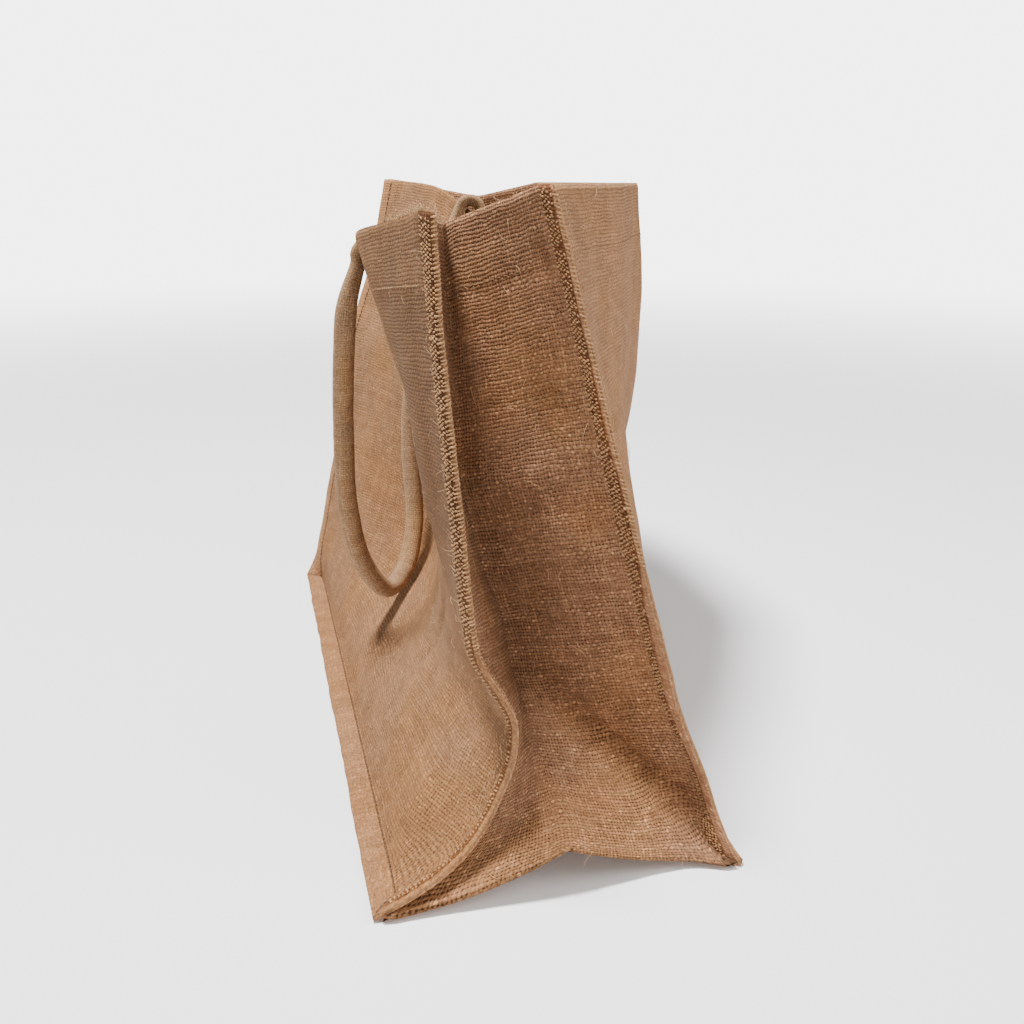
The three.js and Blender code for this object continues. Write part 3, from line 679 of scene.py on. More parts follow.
def edge_roll(name, seam, material):
    """The rolled and overcast edge that closes both layers of a seam ridge."""
    pitch, wide, high, turn_length, inset = ROLL
    path, sides = path_steps(pitch), 10
    net = ridge_net(seam, 0, path)
    out = unit(net[:, -1] - net[:, -2])
    turn = np.linspace(0, math.tau, sides, endpoint=False) + math.tau * path[:, None] / turn_length
    twist = 1 + 0.16 * np.sin(turn) + 0.14 * ripple(5, 91, path)[:, None]
    centre = net[:, -1] - out * inset
    return thin_tubes(name, centre[None], out[None], (wide * twist, high * twist), material, sides)


# distance left bare at a seam's ends
BARE_END = 2
# the knuckles' rows across a ridge, the first row's place, how far each knuckle strays along and across
KNUCKLE_ROWS, FIRST_ROW, STRAY_ALONG, STRAY_ACROSS = 8, 0.4, 0.3, 0.25
# shortest and longest as a share, usual lean, how many lean further and how far, how many are missing
KNUCKLE_SIZES, LEAN, MORE_LEAN, MISSING = (0.6, 1.15), 0.45, (0.3, 0.9), 0.07
# thinnest and thickest, width as a share of the pitch, height, how far the middle stands out and falls away
KNUCKLE_RADII, KNUCKLE_WIDTH, KNUCKLE_HEIGHT, KNUCKLE_ARCH = (0.7, 1.2), 0.25, 0.38, (0.3, 1.6)
# whip loops: how far they stray, slant and vary, half their turn, reach over the tip, inset and reach aside
LOOP_STRAY, LOOP_SLANT, LOOP_SIZES, LOOP_TURN = 0.35, (0.7, 0.5), (0.85, 1.1), 1.8
LOOP_REACH = (0.8, 0.4, 1.3)


def raised_yarns(name, seam, material, pitch, row_step, dash, seed):
    """The knuckles of the open weave on both faces of a ridge, over its gaps, which the cloth's colour
    darkens as painted shade, no two alike.
    """
    random = np.random.default_rng(seed)
    steps = np.linspace(-0.5, 0.5, 4)
    made = []
    for face in (1, -1):
        for row in range(KNUCKLE_ROWS):
            path = np.arange(BARE_END + pitch / 2 * (row % 2), PATH_KEYS[-1] - BARE_END, pitch)
            count = len(path)
            path = path + random.uniform(-STRAY_ALONG, STRAY_ALONG, count)
            across = refine(seam[2], path) * face
            width = np.linalg.norm(refine(seam[1], path), axis=1)
            stray = random.uniform(-STRAY_ACROSS, STRAY_ACROSS, count)
            middle = (FIRST_ROW + dash / 2 + row_step * row + stray) / width
            size = random.uniform(*KNUCKLE_SIZES, count) * dash
            lean = random.normal(0, LEAN, count) + MORE_LEAN[1] * (random.random(count) < MORE_LEAN[0])
            reach = middle[:, None] + steps * (size * np.cos(lean) / width)[:, None]
            places = path[:, None] + steps * (size * np.sin(lean))[:, None]
            kept = (reach.max(1) < open_reach(seam, path)) & (random.random(count) > MISSING)
            kept &= reach.min(1) >= open_start(seam, path)
            points = ridge_net(seam, face, places.ravel(), reach.reshape(-1, 1)).reshape(*places.shape, 3)
            lift = ridge_depth(reach) + KNUCKLE_ARCH[0] - KNUCKLE_ARCH[1] * steps**2
            points = points + across[:, None] * lift[..., None]
            normals = np.broadcast_to(across[:, None], points.shape)
            radius = random.uniform(*KNUCKLE_RADII, (count, 1)) * np.array([0.6, 1, 1, 0.6])
            made.append([part[kept] for part in (points, normals, radius[..., None])])
    points, normals, radius = (np.concatenate(part) for part in zip(*made, strict=True))
    radii = radius * KNUCKLE_WIDTH * pitch, radius * KNUCKLE_HEIGHT
    return thin_tubes(name, points, normals, radii, material)


def whip_loops(name, seam, material, pitch, end, seed):
    """Knotted whip stitches over the tip of a ridge, from the rim down to where its edge turns plain."""
    random = np.random.default_rng(seed)
    path = np.arange(BARE_END, end, pitch)
    count = len(path)
    path = path + random.uniform(-LOOP_STRAY, LOOP_STRAY, count)
    turn = np.linspace(-LOOP_TURN, LOOP_TURN, 9)
    slant = LOOP_SLANT[0] + random.uniform(-LOOP_SLANT[1], LOOP_SLANT[1], (count, 1))
    places = path[:, None] + slant * turn / LOOP_TURN
    tip = ridge_net(seam, 0, places.ravel(), np.ones((places.size, 1))).reshape(*places.shape, 3)
    out, across = unit(refine(seam[1], path))[:, None], refine(seam[2], path)[:, None]
    cosine, sine = np.cos(turn)[:, None], np.sin(turn)[:, None]
    size = random.uniform(*LOOP_SIZES, (count, 1, 1))
    over, inset, aside = LOOP_REACH
    points = tip + out * (over * size * cosine - inset) + across * size * aside * sine
    knots = np.array([0.6, 1.25, 0.7, 1.2, 0.75, 1.25, 0.7, 1.2, 0.6])
    radius = (random.uniform(0.8, 1.2, (count, 1)) * knots)[..., None]
    return thin_tubes(name, points, out * cosine + across * sine, (radius * 0.42, radius * 0.36), material)


def fibres(name, roots, normals, along, shortest, longest, draw, seed, lift):
    """Loose fibres that curl up from the cloth and lie down again."""
    count, steps = len(roots), 7
    lengths = draw.uniform(shortest, longest, count)
    random = np.random.default_rng(seed)
    share = np.linspace(0, 1, steps)[None, :, None]
    side = unit(np.cross(normals, along))
    bend = random.uniform(-0.9, 0.9, (count, 1, 1))
    curl = random.uniform(-0.5, 0.5, (count, 1, 1))
    reach = lengths[:, None, None]
    paths = roots[:, None] + along[:, None] * reach * share
    paths = paths + side[:, None] * reach * (bend * share**2 + curl * np.sin(share * 5) * 0.3)
    height = random.uniform(0.4, 1.6, (count, 1, 1)) * lift
    normals = normals[:, None]
    paths = paths + normals * (height * np.sin(math.pi * share * 0.85) + 0.05)
    taper = np.linspace(1, 0.45, steps)[None, :, None] * FIBRE_RADIUS
    normals = np.broadcast_to(normals, paths.shape)
    return thin_tubes(name, paths, normals, (taper, taper), material_for("fibre"), 3)


# piece, its seam, distance between knuckles along the seam, between rows across the ridge, their length, seed
RAISED_YARNS = (
    ("front_ridge_yarns", FRONT_SEAM, 2.0, 1.7, 1.4, 81),
    ("back_ridge_yarns", BACK_SEAM, 1.9, 1.6, 1.3, 82),
)
# piece, its seam, distance between stitches, where they end along the seam, seed
WHIPPED_TIPS = (
    ("front_whip_stitches", FRONT_SEAM, 1.9, 196, 83),
    ("back_whip_stitches", BACK_SEAM, 1.9, 168, 84),
)
# stitch length, gap, radius, how far it stands up, length left bare at each end
PANEL_HEM, GUSSET_HEM = (3.2, 1.1, 0.34, 0.3, 6, 6), (3.2, 1.1, 0.26, 0.12, 6, 6)
SEAM, MITRE = (3.4, 0.2, 0.62, 0.3, NEAR_SIDE, 2), (2.6, 0.2, 0.55, 0.3, 0, 1)
# piece, thread, line it follows, its stitches
SEWN_LINES = (
    ("front_hem_stitches", "thread", "front_cloth hem", PANEL_HEM),
    ("back_hem_stitches", "thread", "back_cloth hem", PANEL_HEM),
    ("near_hem_stitches", "thread", "gusset_cloth near hem", GUSSET_HEM),
    ("far_hem_stitches", "thread", "gusset_cloth far hem", GUSSET_HEM),
    ("front_seam_stitches", "groove", "front_cloth seam", SEAM),
    ("back_seam_stitches", "groove", "back_cloth seam", SEAM),
    ("front_mitre_stitches", "groove", "front_cloth mitre", MITRE),
    ("back_mitre_stitches", "edge", "back_cloth mitre", MITRE),
)
FIBRE_RADIUS = 0.13
# piece of cloth, how many fibres, shortest, longest, seed
LOOSE_FIBRES = (
    ("gusset_cloth", 260, 3, 12, 71), ("front_cloth", 160, 3, 9, 72), ("back_cloth", 160, 3, 9, 73),
)
# piece, line it stands on, where it starts and ends along that line, how many, shortest, longest, seed
FRAYED_RIMS = (
    ("front_rim_fray", "front_cloth rim", 0.9, 1, 80, 1, 4, 74),
    ("near_rim_fray", "gusset_cloth near rim", 0, 0.25, 50, 1.5, 5, 75),
    ("near_rim_hairs", "gusset_cloth near rim", 0.25, 1, 40, 1, 3.5, 76),
    ("front_ridge_fuzz", "front_cloth seam", 0.02, 0.32, 240, 1.5, 6, 77),
    ("back_ridge_fuzz", "back_cloth seam", 0.02, 0.32, 180, 1.5, 6, 78),
)


# Rope handles


def rope_curve(route, steps):
    """Points along a smooth rope through its route, steps for each span, and the distance to each."""
    route = np.array(route, float)
    ext = np.concatenate([[2 * route[0] - route[1]], route, [2 * route[-1] - route[-2]]])
    gap = np.linalg.norm(np.diff(ext, axis=0), axis=1) ** 0.5
    t = np.arange(steps)[:, None] / steps
    points = []
    for i in range(1, len(ext) - 2):
        p0, p1, p2, p3 = ext[i - 1 : i + 3]
        d0, d1, d2 = gap[i - 1 : i + 2]
        start = ((p1 - p0) / d0 - (p2 - p0) / (d0 + d1) + (p2 - p1) / d1) * d1
        end = ((p2 - p1) / d1 - (p3 - p1) / (d1 + d2) + (p3 - p2) / d2) * d1
        square, cube = 3 * (p2 - p1) - 2 * start - end, 2 * (p1 - p2) + start + end
        points.append(p1 + start * t + square * t**2 + cube * t**3)
    points = np.concatenate([*points, route[-1:]])
    return points, run(points)


def near_rim(sections, at, depth, side):
    """A place on a panel's hem at a depth below the rim: its middle, and the directions up, out and along."""
    share = 1 - depth / looked_up(sections, [at])[0, 1]
    point, lower, before, after = (
        panel_grid(sections, at + step, share - drop)[0, 0]
        for step, drop in ((0, 0), (0, RIM_STEP), (-RIM_STEP, 0), (RIM_STEP, 0))
    )
    up = unit(point - lower)
    out = unit(np.cross(after - before, up) * -side)
    return point - out * (HEM_CLOTH - CLOTH) / 2, up, out, unit(after - before)


def inside_rim(sections, at, depth, side, clearance, flat):
    centre, _, out, _ = near_rim(sections, at, depth, side)
    return centre - out * (HEM_CLOTH / 2 + clearance + ROPE_RADIUS * flat)


def over_rim(sections, at, side):
    """The route of a sewn rope end: up the inside of the hem and over the rim."""
    sewn = BEND_CLEARANCE, SEWN_FLATNESS
    points = [inside_rim(sections, at, SEWN_DEPTH * share, side, *sewn) for share in (1, 0.6, 0.25)]
    centre, up, out, _ = near_rim(sections, at, 0, side)
    for angle in math.pi * (1 - np.arange(BEND_STEPS + 1) / BEND_STEPS):
        points.append(centre + out * RIM_BEND * math.cos(angle) + up * RIM_BEND * math.sin(angle))
    return points


def flatness(distance, sewn):
    """How flat the rope is by the distance from its nearer tip: pressed flat where it is sewn down."""
    return follow((sewn, sewn + ROUNDING), (SEWN_FLATNESS, 1), np.atleast_1d(distance))


def front_rope():
    """The front handle's route, how much of each end is pressed flat, and the panel's direction at both."""
    near, far = (over_rim(FRONT_SECTIONS, leg, -1) for leg in (NEAR_LEG, FAR_LEG))
    alongs = [near_rim(FRONT_SECTIONS, leg, 0, -1)[3] for leg in (NEAR_LEG, FAR_LEG)]
    return [*near, *np.array(HANDLE_DROP, float), *far[::-1]], SEWN_DEPTH + math.pi * RIM_BEND, alongs


def back_rope():
    top = BACK_LOOP[0][1]
    route = [
        inside_rim(BACK_SECTIONS, at, depth, 1, LAID_CLEARANCE, flatness(depth - top, SEWN_DEPTH)[0])
        for at, depth in BACK_LOOP
    ]
    alongs = [near_rim(BACK_SECTIONS, at, depth, 1)[3] for at, depth in (BACK_LOOP[0], BACK_LOOP[-1])]
    return route, SEWN_DEPTH, alongs


def rope_frames(centre, stations, alongs):
    """Directions round a rope, turned evenly so that both ends lie flat along the panel."""
    tangent = unit(np.gradient(centre, axis=0))
    normal, normals = alongs[0], []
    for line in tangent:
        normal = unit(normal - line * normal.dot(line))
        normals.append(normal)
    normals = np.array(normals)
    others = np.cross(tangent, normals)
    twist = math.atan(alongs[1].dot(others[-1]) / alongs[1].dot(normals[-1]))
    angle = (twist * stations / stations[-1])[:, None]
    turned = normals * np.cos(angle) + others * np.sin(angle)
    return tangent, turned, np.cross(tangent, turned)


def rope_piece(name, rope, material, pitch, sides, seed):
    """A padded rope in its woven cover, closed along one sewn line, with flattened round tips."""
    route, sewn, alongs = rope
    dense, length = rope_curve(route, 24)
    total = length[-1]
    stations = np.linspace(0, total, round(total / pitch) + 1)
    centre = resampled(dense, length, stations)
    tangent, normal, other = rope_frames(centre, stations, alongs)
    # how far each tip ring stands out past the rope's end, and its share of the radius
    tips = np.array([(1.6, 0.35), (1.2, 0.62), (0.6, 0.86)])
    order = np.array([0, 0, 0, *range(len(stations)), *[len(stations) - 1] * 3])
    shift = np.concatenate([-tips[:, 0], 0 * stations, tips[::-1, 0]])
    size = np.concatenate([tips[:, 1], 1 + 0 * stations, tips[::-1, 1]])
    places = stations[order] + shift
    radius = size * (ROPE_RADIUS - 0.15 + 0.18 * ripple(23, seed, places))
    flat = flatness(np.minimum(places, total - places), sewn)
    angles = np.linspace(0, math.tau, sides, endpoint=False)
    swell = radius[:, None] * (1 - 0.05 * np.exp(-((angles - 2.4) ** 2) / 0.03))
    swell = swell + 0.12 * ripple(7, seed + 1, angles * 6, places[:, None])
    points = (centre[order] + tangent[order] * shift[:, None])[:, None]
    points = points + (np.cos(angles) * swell)[..., None] * normal[order][:, None]
    points = points + (np.sin(angles) * swell * flat[:, None])[..., None] * other[order][:, None]
    numbers, closed = rings(len(places), sides)
    faces = [*quads(closed).tolist(), numbers[0, ::-1].tolist(), numbers[-1].tolist()]
    laid = np.stack(np.meshgrid(np.linspace(0, math.tau * ROPE_RADIUS, sides + 1), places), -1)
    corners = quads(np.arange(laid.size // 2).reshape(laid.shape[:2])).ravel()
    flat_map = np.concatenate([laid.reshape(-1, 2)[corners], np.zeros((2 * sides, 2))])
    piece = make_mesh(name, points.reshape(-1, 3), faces, material, corner_flat=flat_map)
    bars = np.array([*range(4, 15, 2), *range(-5, -16, -2)])
    hoops = points[bars][:, [*range(sides), 0, 1]]
    away = unit(hoops - centre[order][bars][:, None])
    return piece, (centre - MIDDLE) * MM, total * MM, (hoops + away * 0.15, away)


# Materials


class Nodes:
    """Adds shader nodes and joins them, each call giving the new node's output."""

    def __init__(self, tree):
        self.tree = tree

    def add(self, kind, inputs=(), output=0, **settings):
        node = self.tree.nodes.new("ShaderNode" + kind)
        for key, value in settings.items():
            setattr(node, key, value)
        self.fill(node.inputs, inputs if isinstance(inputs, dict) else dict(enumerate(inputs)))
        return node.outputs if output is None else node.outputs[output]

    def fill(self, sockets, values):
        for key, value in values.items():
            if isinstance(value, bpy.types.NodeSocket):
                self.tree.links.new(value, sockets[key])
            else:
                sockets[key].default_value = value

    def math(self, operation, *inputs, clamp=False):
        return self.add("Math", inputs, operation=operation, use_clamp=clamp)

    def times(self, one, other):
        return self.math("MULTIPLY", one, other)

    def scaled(self, value, factor, shift, clamp=False):
        return self.math("MULTIPLY_ADD", value, factor, shift, clamp=clamp)

    def vector(self, operation, *inputs):
        return self.add("VectorMath", inputs, operation=operation)

    def join(self, *inputs):
        return self.add("CombineXYZ", inputs)

    def split(self, vector):
        return self.add("SeparateXYZ", (vector,), None)

    def range(self, value, low, high, to_low=0.0, to_high=1.0):
        return self.add("MapRange", (value, low, high, to_low, to_high), interpolation_type="SMOOTHSTEP")

    def noise(self, place, scale, detail=2.0, roughness=0.5, output=0):
        inputs = {"Vector": place, "Scale": scale, "Detail": detail, "Roughness": roughness}
        return self.add("TexNoise", inputs, output)

    def blend(self, share, one, other, mode="MIX"):
        return self.add("Mix", {0: share, 6: one, 7: other}, 2, data_type="RGBA", blend_type=mode)

    def shaded(self, colour, factor):
        """A colour made darker or lighter by a plain factor."""
        return self.blend(1.0, colour, self.add("CombineColor", (factor, factor, factor)), "MULTIPLY")


def weave_group():
    """Plain weave of uneven jute yarn: tone, height, spots for painted highlights on the knuckles at the
    crossings, fibres along each yarn.
    """
    group = bpy.data.node_groups.new("jute weave", "ShaderNodeTree")
    for word in ("Place", "Warp pitch", "Weft pitch", "Yarn width", "Weft lead", "Seed"):
        kind = "NodeSocketVector" if word == "Place" else "NodeSocketFloat"
        group.interface.new_socket(word, in_out="INPUT", socket_type=kind)
    for word in ("Tone", "Height", "Knuckle", "Fibre"):
        group.interface.new_socket(word, in_out="OUTPUT", socket_type="NodeSocketFloat")
    n = Nodes(group)
    inputs = group.nodes.new("NodeGroupInput").outputs
    place = n.vector("ADD", inputs["Place"], n.join(inputs["Seed"], inputs["Seed"], 0.0))
    slow, quick = n.noise(place, 0.03, 2, output=1), n.noise(place, 0.25, 1, output=1)
    wander = n.vector("MULTIPLY", n.vector("SUBTRACT", slow, (0.5, 0.5, 0.5)), (5, 5, 0))
    shake = n.vector("MULTIPLY", n.vector("SUBTRACT", quick, (0.5, 0.5, 0.5)), (1.3, 1.3, 0))
    moved = n.split(n.vector("ADD", n.vector("ADD", place, wander), shake))
    u, v = (n.math("DIVIDE", moved[k], inputs[word]) for k, word in ((0, "Warp pitch"), (1, "Weft pitch")))
    sides = []
    for own, other, turn in ((u, v, 1.0), (v, u, -1.0)):
        number = n.math("FLOOR", own)
        key = n.math("ADD", number, 37.7 if turn < 0 else 3.3)
        course = n.join(n.times(key, 3.71), n.times(other, 0.4), turn * 9)
        sway = n.scaled(n.noise(course, 1.0, 1), 0.5, -0.75)
        local = n.math("ADD", n.math("FRACT", own), sway)
        random = n.add("TexWhiteNoise", {"W": key}, noise_dimensions="1D")
        slub = n.noise(n.join(n.times(key, 7.31), n.times(other, 0.17), turn), 1.0, 2)
        across = n.math("DIVIDE", local, n.times(inputs["Yarn width"], n.scaled(slub, 1.1, 0.45)))
        body = n.math("MAXIMUM", n.math("SUBTRACT", 1.0, n.times(across, across)), -0.6)
        parity = n.scaled(n.math("FLOORED_MODULO", number, 2.0), -2.0, 1.0)
        wave = n.times(n.math("SINE", n.times(other, math.pi)), parity)
        height = n.scaled(wave, 0.3 * turn, n.times(body, 0.5))
        if turn < 0:
            height = n.math("ADD", height, inputs["Weft lead"])
        strand = n.join(n.times(own, 6.0), n.times(other, 0.8), turn * 5)
        sides.append((height, n.noise(strand, 1.0, 2, 0.6), n.scaled(random, 0.35, n.times(slub, 0.65))))
    (warp, warp_fibre, warp_tone), (weft, weft_fibre, weft_tone) = sides
    over, top = n.math("GREATER_THAN", warp, weft), n.math("MAXIMUM", warp, weft)
    tone, fibre = (
        n.scaled(over, n.math("SUBTRACT", one, other), other)
        for one, other in ((warp_tone, weft_tone), (warp_fibre, weft_fibre))
    )
    # spots for painted highlights: the tops of random crossings
    crossing = n.join(n.math("FLOOR", u), n.math("FLOOR", v), over)
    lucky = n.range(n.add("TexWhiteNoise", {"Vector": crossing}), 0.76, 1.0)
    knuckle = n.times(lucky, n.range(top, 0.55, 0.8))
    height = n.scaled(top, 0.95, 0.12, clamp=True)
    results = {"Tone": tone, "Height": height, "Knuckle": knuckle, "Fibre": fibre}
    n.fill(group.nodes.new("NodeGroupOutput").inputs, results)
    return group


def painted_shade_area(n, place, shade_corner):
    """Where painted shade greys the cloth: beyond a line on the flat cloth, with a cloudy border."""
    if not shade_corner:
        return 0.0
    split = n.split(place)
    cloud = n.scaled(n.noise(place, 0.03, 3, 0.6), 50, -25)
    one, other = (
        n.range(n.math("ADD", split[k], cloud), shade_corner[k], shade_corner[k] + width)
        for k, width in ((0, 45), (1, 60))
    )
    return n.times(one, other)


def new_material(name):
    material = bpy.data.materials.new(name)
    material.use_nodes = True
    return material, Nodes(material.node_tree), material.node_tree.nodes["Principled BSDF"].inputs


def jute_material(name, light, dark, pitch, yarn, seed, depth, glint, relief, lead, shade_corner=None):
    """Coarse jute cloth from the flat-cloth map, in millimetres; depth is how dark the painted shade in its
    low places is.
    """
    material, n, shader = new_material(name)
    place = n.add("UVMap", uv_map="flat cloth")
    band, roll, hem = (n.add("Attribute", output=2, attribute_name=word) for word in MARKS)
    weave = {
        "Place": place, "Warp pitch": pitch[0], "Weft pitch": pitch[1],
        "Yarn width": n.scaled(hem, -0.03, yarn), "Weft lead": lead, "Seed": seed,
    }
    out = n.add("Group", weave, None, node_tree=bpy.data.node_groups.get("jute weave") or weave_group())
    colour = n.blend(n.range(out["Tone"], 0.2, 0.8), (*dark, 1), (*light, 1))
    patch = n.noise(place, 0.016, 3, 0.6)
    gold = n.noise(n.vector("ADD", place, (310, 90, 0)), 0.013, 2, 0.5)
    for share, tint in (
        (n.range(patch, 0.4, 0.72, 0, 0.5), (0.86, 0.8, 0.72, 1)),
        (n.range(patch, 0.6, 0.25, 0, 0.35), (1.12, 0.95, 0.84, 1)),
        (n.range(gold, 0.42, 0.66, 0, 0.75), (1.07, 1.0, 0.8, 1)),
    ):
        colour = n.blend(share, colour, tint, "MULTIPLY")
    cloudy = n.range(n.noise(place, 0.09, 3, 0.65), 0.3, 0.7, 0.82, 1.1)
    speck = n.noise(n.vector("MULTIPLY", place, (0.6, 1.3, 1.0)), 1.0, 2, 0.7)
    fine = n.times(cloudy, n.range(speck, 0.32, 0.68, 0.72, 1.28))
    # painted shade in the weave's low places and gaps, in patches, deeper on the hem and faint on the dense
    # rolled edge
    strong = n.range(n.noise(place, 0.045, 2, 0.5), 0.35, 0.65, 0.7, 1.25)
    deep = n.times(n.times(strong, n.scaled(hem, 0.12, depth)), n.scaled(roll, -0.8, 1.0))
    low = n.math("SUBTRACT", 1.0, out["Height"])
    shade = n.math("SUBTRACT", 1.0, n.times(deep, n.times(n.times(low, low), 1.5)))
    # painted highlights: glints on knuckle tops, scaled by glint; the dense rolled edge of the ridges is
    # lightened by an eighth as well
    shine = n.math("ADD", n.times(out["Knuckle"], glint), n.scaled(roll, 0.12, 1.0))
    plain = n.times(fine, n.math("MAXIMUM", shade, 0.16))
    factor = n.times(plain, n.range(out["Fibre"], 0.3, 0.7, 0.88, 1.1))
    colour = n.shaded(colour, n.times(factor, shine))
    # painted shade: the cloth greyed darker beyond its corner, the upper near part of the front panel, less
    # on the hem
    flap_shade = n.times(painted_shade_area(n, place, shade_corner), n.scaled(hem, -0.3, 1.0))
    colour = n.blend(flap_shade, colour, (0.5, 0.46, 0.43, 1), "MULTIPLY")
    # painted shade in the open weave's gaps under the raised yarns: the band's cloth darkened
    colour = n.blend(band, colour, (0.6, 0.49, 0.41, 1), "MULTIPLY")
    bump = n.add("Bump", {"Strength": 1.0, "Distance": relief * MM, "Height": out["Height"]})
    n.fill(shader, {
        "Base Color": colour, "Roughness": 0.9, "Normal": bump, "Specular IOR Level": 0.1,
        "Sheen Weight": 0.06, "Sheen Roughness": 0.5, "Sheen Tint": (1, 0.72, 0.46, 1),
    })
    return material


def yarn_material(name, colour, roughness):
    """Twisted jute yarn or thread: fine strands and uneven colour from the place on the piece."""
    material, n, shader = new_material(name)
    place = n.add("TexCoord", output="Object")
    strand, patch = n.noise(place, 1400, 3, 0.65), n.noise(place, 380, 2, 0.5)
    factor = n.times(n.range(strand, 0.3, 0.7, 0.72, 1.16), n.range(patch, 0.3, 0.7, 0.7, 1.2))
    bump = n.add("Bump", {"Strength": 0.6, "Distance": 0.2 * MM, "Height": strand})
    n.fill(shader, {
        "Base Color": n.shaded((*colour, 1), factor), "Roughness": roughness, "Normal": bump,
        "Specular IOR Level": 0.25,
    })
    return material


def floor_material(name):
    """A plain pale floor that fades into the backdrop away from the bag."""
    material, n, shader = new_material(name)
    away = n.add("VectorMath", (n.add("TexCoord", output="Object"),), "Value", operation="LENGTH")
    alpha = n.range(away, *FLOOR_FADE, 1, 0)
    n.fill(shader, {"Base Color": (0.93, 0.93, 0.93, 1), "Roughness": 0.8, "Alpha": alpha})
    return material


# metres from the bag where the floor begins and ends its fade into the backdrop
FLOOR_FADE = (0.3, 3.0)
# cloth: colours of its light and dark yarns, distances between threads in millimetres, a yarn's width as a
# share of them, seed, how dark the painted shade in its gaps is, how bright the painted highlights on its
# knuckles are, relief in millimetres, how far the weft stands over the warp, corner of the area greyed by
# painted shade; yarn: colour, roughness
MATERIALS = {
    "panel": (
        jute_material, "jute panel cloth", (0.273, 0.14, 0.068), (0.208, 0.101, 0.046),
        (1.85, 1.9), 0.42, 3.0, 0.64, 0.5, 0.36, 0.12, (305, 120),
    ),
    # the front and back panels are one jute: the back's copy is made paler as painted light
    "back": (
        jute_material, "jute back cloth", (0.335, 0.176, 0.092), (0.285, 0.144, 0.071),
        (1.85, 1.9), 0.44, 31.0, 0.6, 0.3, 0.3, 0.12,
    ),
    "gusset": (
        jute_material, "jute gusset cloth", (0.33, 0.172, 0.092), (0.224, 0.106, 0.053),
        (1.85, 1.9), 0.39, 57.0, 0.8, 0.7, 0.5, 0.16,
    ),
    "rope": (
        jute_material, "rope cover", (0.33, 0.2, 0.112), (0.256, 0.149, 0.078),
        (1.5, 1.5), 0.46, 11.0, 0.5, 0.35, 0.3, 0.08,
    ),
    "edge": (yarn_material, "rolled seam edge", (0.24, 0.118, 0.05), 0.85),
    "knuckle": (yarn_material, "raised seam yarn", (0.43, 0.235, 0.11), 0.85),
    "thread": (yarn_material, "sewing thread", (0.3, 0.165, 0.075), 0.7),
    # the seam's stitches, real, but made near black as painted shade of the groove they lie in
    "groove": (yarn_material, "seam thread", (0.12, 0.058, 0.025), 0.7),
    "fibre": (yarn_material, "loose jute fibre", (0.5, 0.31, 0.15), 0.6),
    "floor": (floor_material, "pale floor"),
}


def material_for(word):
    """The material of a kind of cloth or yarn, made when it is first used."""
    make, name, *rest = MATERIALS[word]
    return bpy.data.materials.get(name) or make(name, *rest)


# Sizes that a user can change


class ToteSettings(bpy.types.PropertyGroup):
    net_pitch: bpy.props.FloatProperty(
        name="Net pitch", description="Distance between neighbouring points of the cloth", default=0.003,
        unit="LENGTH",
    )
    wrinkle: bpy.props.FloatProperty(
        name="Wrinkles", description="How strongly the cloth is rumpled", default=1.0, subtype="FACTOR"
    )


def measures():
    """The distance between the cloth's points in millimetres, and how strongly it is rumpled."""
    settings = bpy.context.scene.tote_settings
    return settings.net_pitch / MM, settings.wrinkle


def settle(piece, slot, *nodes):
    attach(piece, "root")
    if nodes:
        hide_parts(*nodes)


def place_object(name, data, place, direction):
    """A camera or a lamp at its place, looking along a direction."""
    thing = new_object(name, data)
    thing.location = place
    thing.rotation_mode = "QUATERNION"
    thing.rotation_quaternion = Vector(direction).to_track_quat("-Z", "Y")
    return thing


class TOTE_OT_camera(bpy.types.Operator):
    """Put the camera at the near end, a little above the rim"""

    bl_idname = "tote.camera"
    bl_label = "Camera"

    def execute(self, context):
        data = bpy.data.cameras.new("camera")
        data.lens, data.sensor_width = 33.75, 36
        place, direction = (0.57812, -0.14647, 0.322), (-0.9107, 0.2522, -0.3272)
        context.scene.camera = place_object("camera", data, place, direction)
        return {"FINISHED"}


class TOTE_OT_handles(bpy.types.Operator):
    """Make both rope handles in their woven covers and whip their sewn ends"""

    bl_idname = "tote.handles"
    bl_label = "Rope handles"

    def execute(self, context):
        for name, rope, node, seed in (
            ("handle_front_rope", front_rope(), "handle_front", 21),
            ("handle_back_rope", back_rope(), "handle_back", 24),
        ):
            piece, path, length, hoops = rope_piece(name, rope, material_for("rope"), 2.5, 24, seed)
            settle(piece, "jute_rope", node)
            bars = thin_tubes(node + "_bar_stitches", *hoops, (0.38, 0.3), material_for("thread"))
            settle(bars, "jute_rope")
        return {"FINISHED"}


class TOTE_OT_panels(bpy.types.Operator):
    """Make the front and back panels of woven cloth"""

    bl_idname = "tote.panels"
    bl_label = "Front and back panels"

    def execute(self, context):
        for name, sections, seam, side, word, node, seed in (
            ("front_cloth", FRONT_SECTIONS, FRONT_SEAM, -1, "panel", "front_panel", 41),
            ("back_cloth", BACK_SECTIONS, BACK_SEAM, 1, "back", "back_panel", 51),
        ):
            piece = panel_piece(name, sections, seam, side, material_for(word), *measures(), seed)
            settle(piece, "jute_panel", node)
        return {"FINISHED"}


class TOTE_OT_gusset(bpy.types.Operator):
    """Make the strip that forms both ends and the base"""

    bl_idname = "tote.gusset"
    bl_label = "Gusset strip"

    def execute(self, context):
        piece = gusset_piece("gusset_cloth", material_for("gusset"), *measures(), 61)
        settle(piece, "jute_gusset", "gusset_strip")
        return {"FINISHED"}


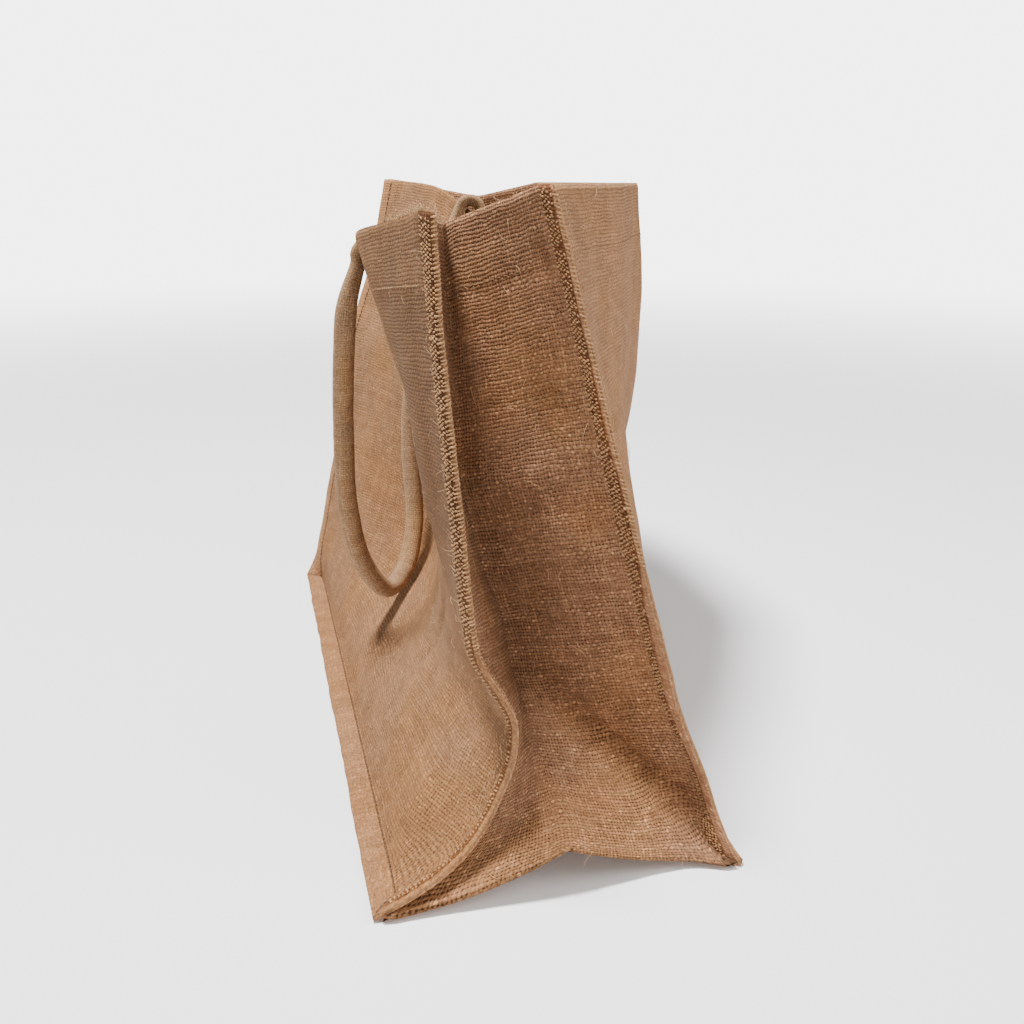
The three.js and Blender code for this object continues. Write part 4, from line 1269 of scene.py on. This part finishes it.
class TOTE_OT_sewing(bpy.types.Operator):
    """Sew the hems and seams, roll and whip the seam edges"""

    bl_idname = "tote.sewing"
    bl_label = "Sewing and seam edges"

    def execute(self, context):
        for name, seam in (("front_edge_roll", FRONT_SEAM), ("back_edge_roll", BACK_SEAM)):
            settle(edge_roll(name, seam, material_for("edge")), "jute_gusset")
        for make, table in ((raised_yarns, RAISED_YARNS), (whip_loops, WHIPPED_TIPS)):
            for name, seam, *sizes in table:
                settle(make(name, seam, material_for("knuckle"), *sizes), "jute_gusset")
        for name, word, line, sizes in SEWN_LINES:
            settle(thin_tubes(name, *stitches(LINES[line], *sizes), material_for(word)), "jute_panel")
        return {"FINISHED"}


class TOTE_OT_fibres(bpy.types.Operator):
    """Scatter loose fibres over the cloth and fray the rim at the near corner"""

    bl_idname = "tote.fibres"
    bl_label = "Loose fibres"

    def execute(self, context):
        for name, count, *lengths, seed in LOOSE_FIBRES:
            points, normals = LINES[name]
            draw = np.random.default_rng(seed)
            chosen = draw.choice(len(points), count, replace=False)
            roots, normals = points[chosen], normals[chosen]
            heading = unit(np.cross(normals, draw.normal(size=(count, 3))))
            settle(fibres(name + "_fibres", roots, normals, heading, *lengths, draw, seed, 1), "jute_panel")
        for name, line, start, end, count, *lengths, seed in FRAYED_RIMS:
            points, normals = LINES[line]
            draw = np.random.default_rng(seed)
            chosen = draw.integers(int(start * len(points)), int(end * len(points)), count)
            normals = normals[chosen]
            roots = points[chosen] - normals * draw.uniform(0, CLOTH, (count, 1))
            heading = unit(np.array([0, 0, 1.0]) + draw.normal(size=(count, 3)) * 0.55)
            settle(fibres(name, roots, normals, heading, *lengths, draw, seed, 0.5), "jute_panel")
        return {"FINISHED"}


# name, place in metres, size in metres, watts
STUDIO_LIGHTS = (
    ("overhead", (-0.12, -0.37, 1.7), 0.3, 88),
    ("right", (0.7, 1.0, 1.0), 0.9, 14),
    ("camera side", (1.5, -0.1, 0.5), 0.9, 7),
)
DAYLIGHT = 0.28
BACKDROP = 5.0
AIM = Vector((0, 0, 0.15))


class TOTE_OT_stage(bpy.types.Operator):
    """Make the pale floor and the soft studio light"""

    bl_idname = "tote.stage"
    bl_label = "Floor and light"

    def execute(self, context):
        mesh = bpy.data.meshes.new("floor")
        mesh.from_pydata([(-9, -9, 0), (9, -9, 0), (9, 9, 0), (-9, 9, 0)], [], [(0, 1, 2, 3)])
        mesh.materials.append(material_for("floor"))
        new_object("floor", mesh)
        world = bpy.data.worlds.new("studio")
        world.use_nodes = True
        n, background = Nodes(world.node_tree), world.node_tree.nodes["Background"].inputs
        seen = n.add("LightPath", output="Is Camera Ray")
        n.fill(background, {0: (1, 1, 1, 1), 1: n.scaled(seen, BACKDROP - DAYLIGHT, DAYLIGHT)})
        context.scene.world = world
        for name, place, size, power in STUDIO_LIGHTS:
            light = bpy.data.lights.new(name, "AREA")
            light.energy, light.size = power, size
            place_object(name, light, place, AIM - Vector(place))
        return {"FINISHED"}


STEPS = (
    TOTE_OT_camera, TOTE_OT_handles, TOTE_OT_panels, TOTE_OT_gusset,
    TOTE_OT_sewing, TOTE_OT_fibres, TOTE_OT_stage,
)


class TOTE_PT_sidebar(bpy.types.Panel):
    bl_label = "Jute tote bag"
    bl_idname = "TOTE_PT_sidebar"
    bl_space_type = "VIEW_3D"
    bl_region_type = "UI"
    bl_category = "Tote bag"

    def draw(self, context):
        for word in ToteSettings.__annotations__:
            self.layout.prop(context.scene.tote_settings, word)
        for step in STEPS:
            self.layout.operator(step.bl_idname)


CLASSES = (ToteSettings, *STEPS, TOTE_PT_sidebar)


def register():
    for each in CLASSES:
        bpy.utils.register_class(each)
    bpy.types.Scene.tote_settings = bpy.props.PointerProperty(type=ToteSettings)


def unregister():
    del bpy.types.Scene.tote_settings
    for each in reversed(CLASSES):
        bpy.utils.unregister_class(each)


def main():
    register()
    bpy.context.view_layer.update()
    for step in STEPS:
        group, word = step.bl_idname.split(".")
        getattr(getattr(bpy.ops, group), word)()


if __name__ == "__main__":
    main()
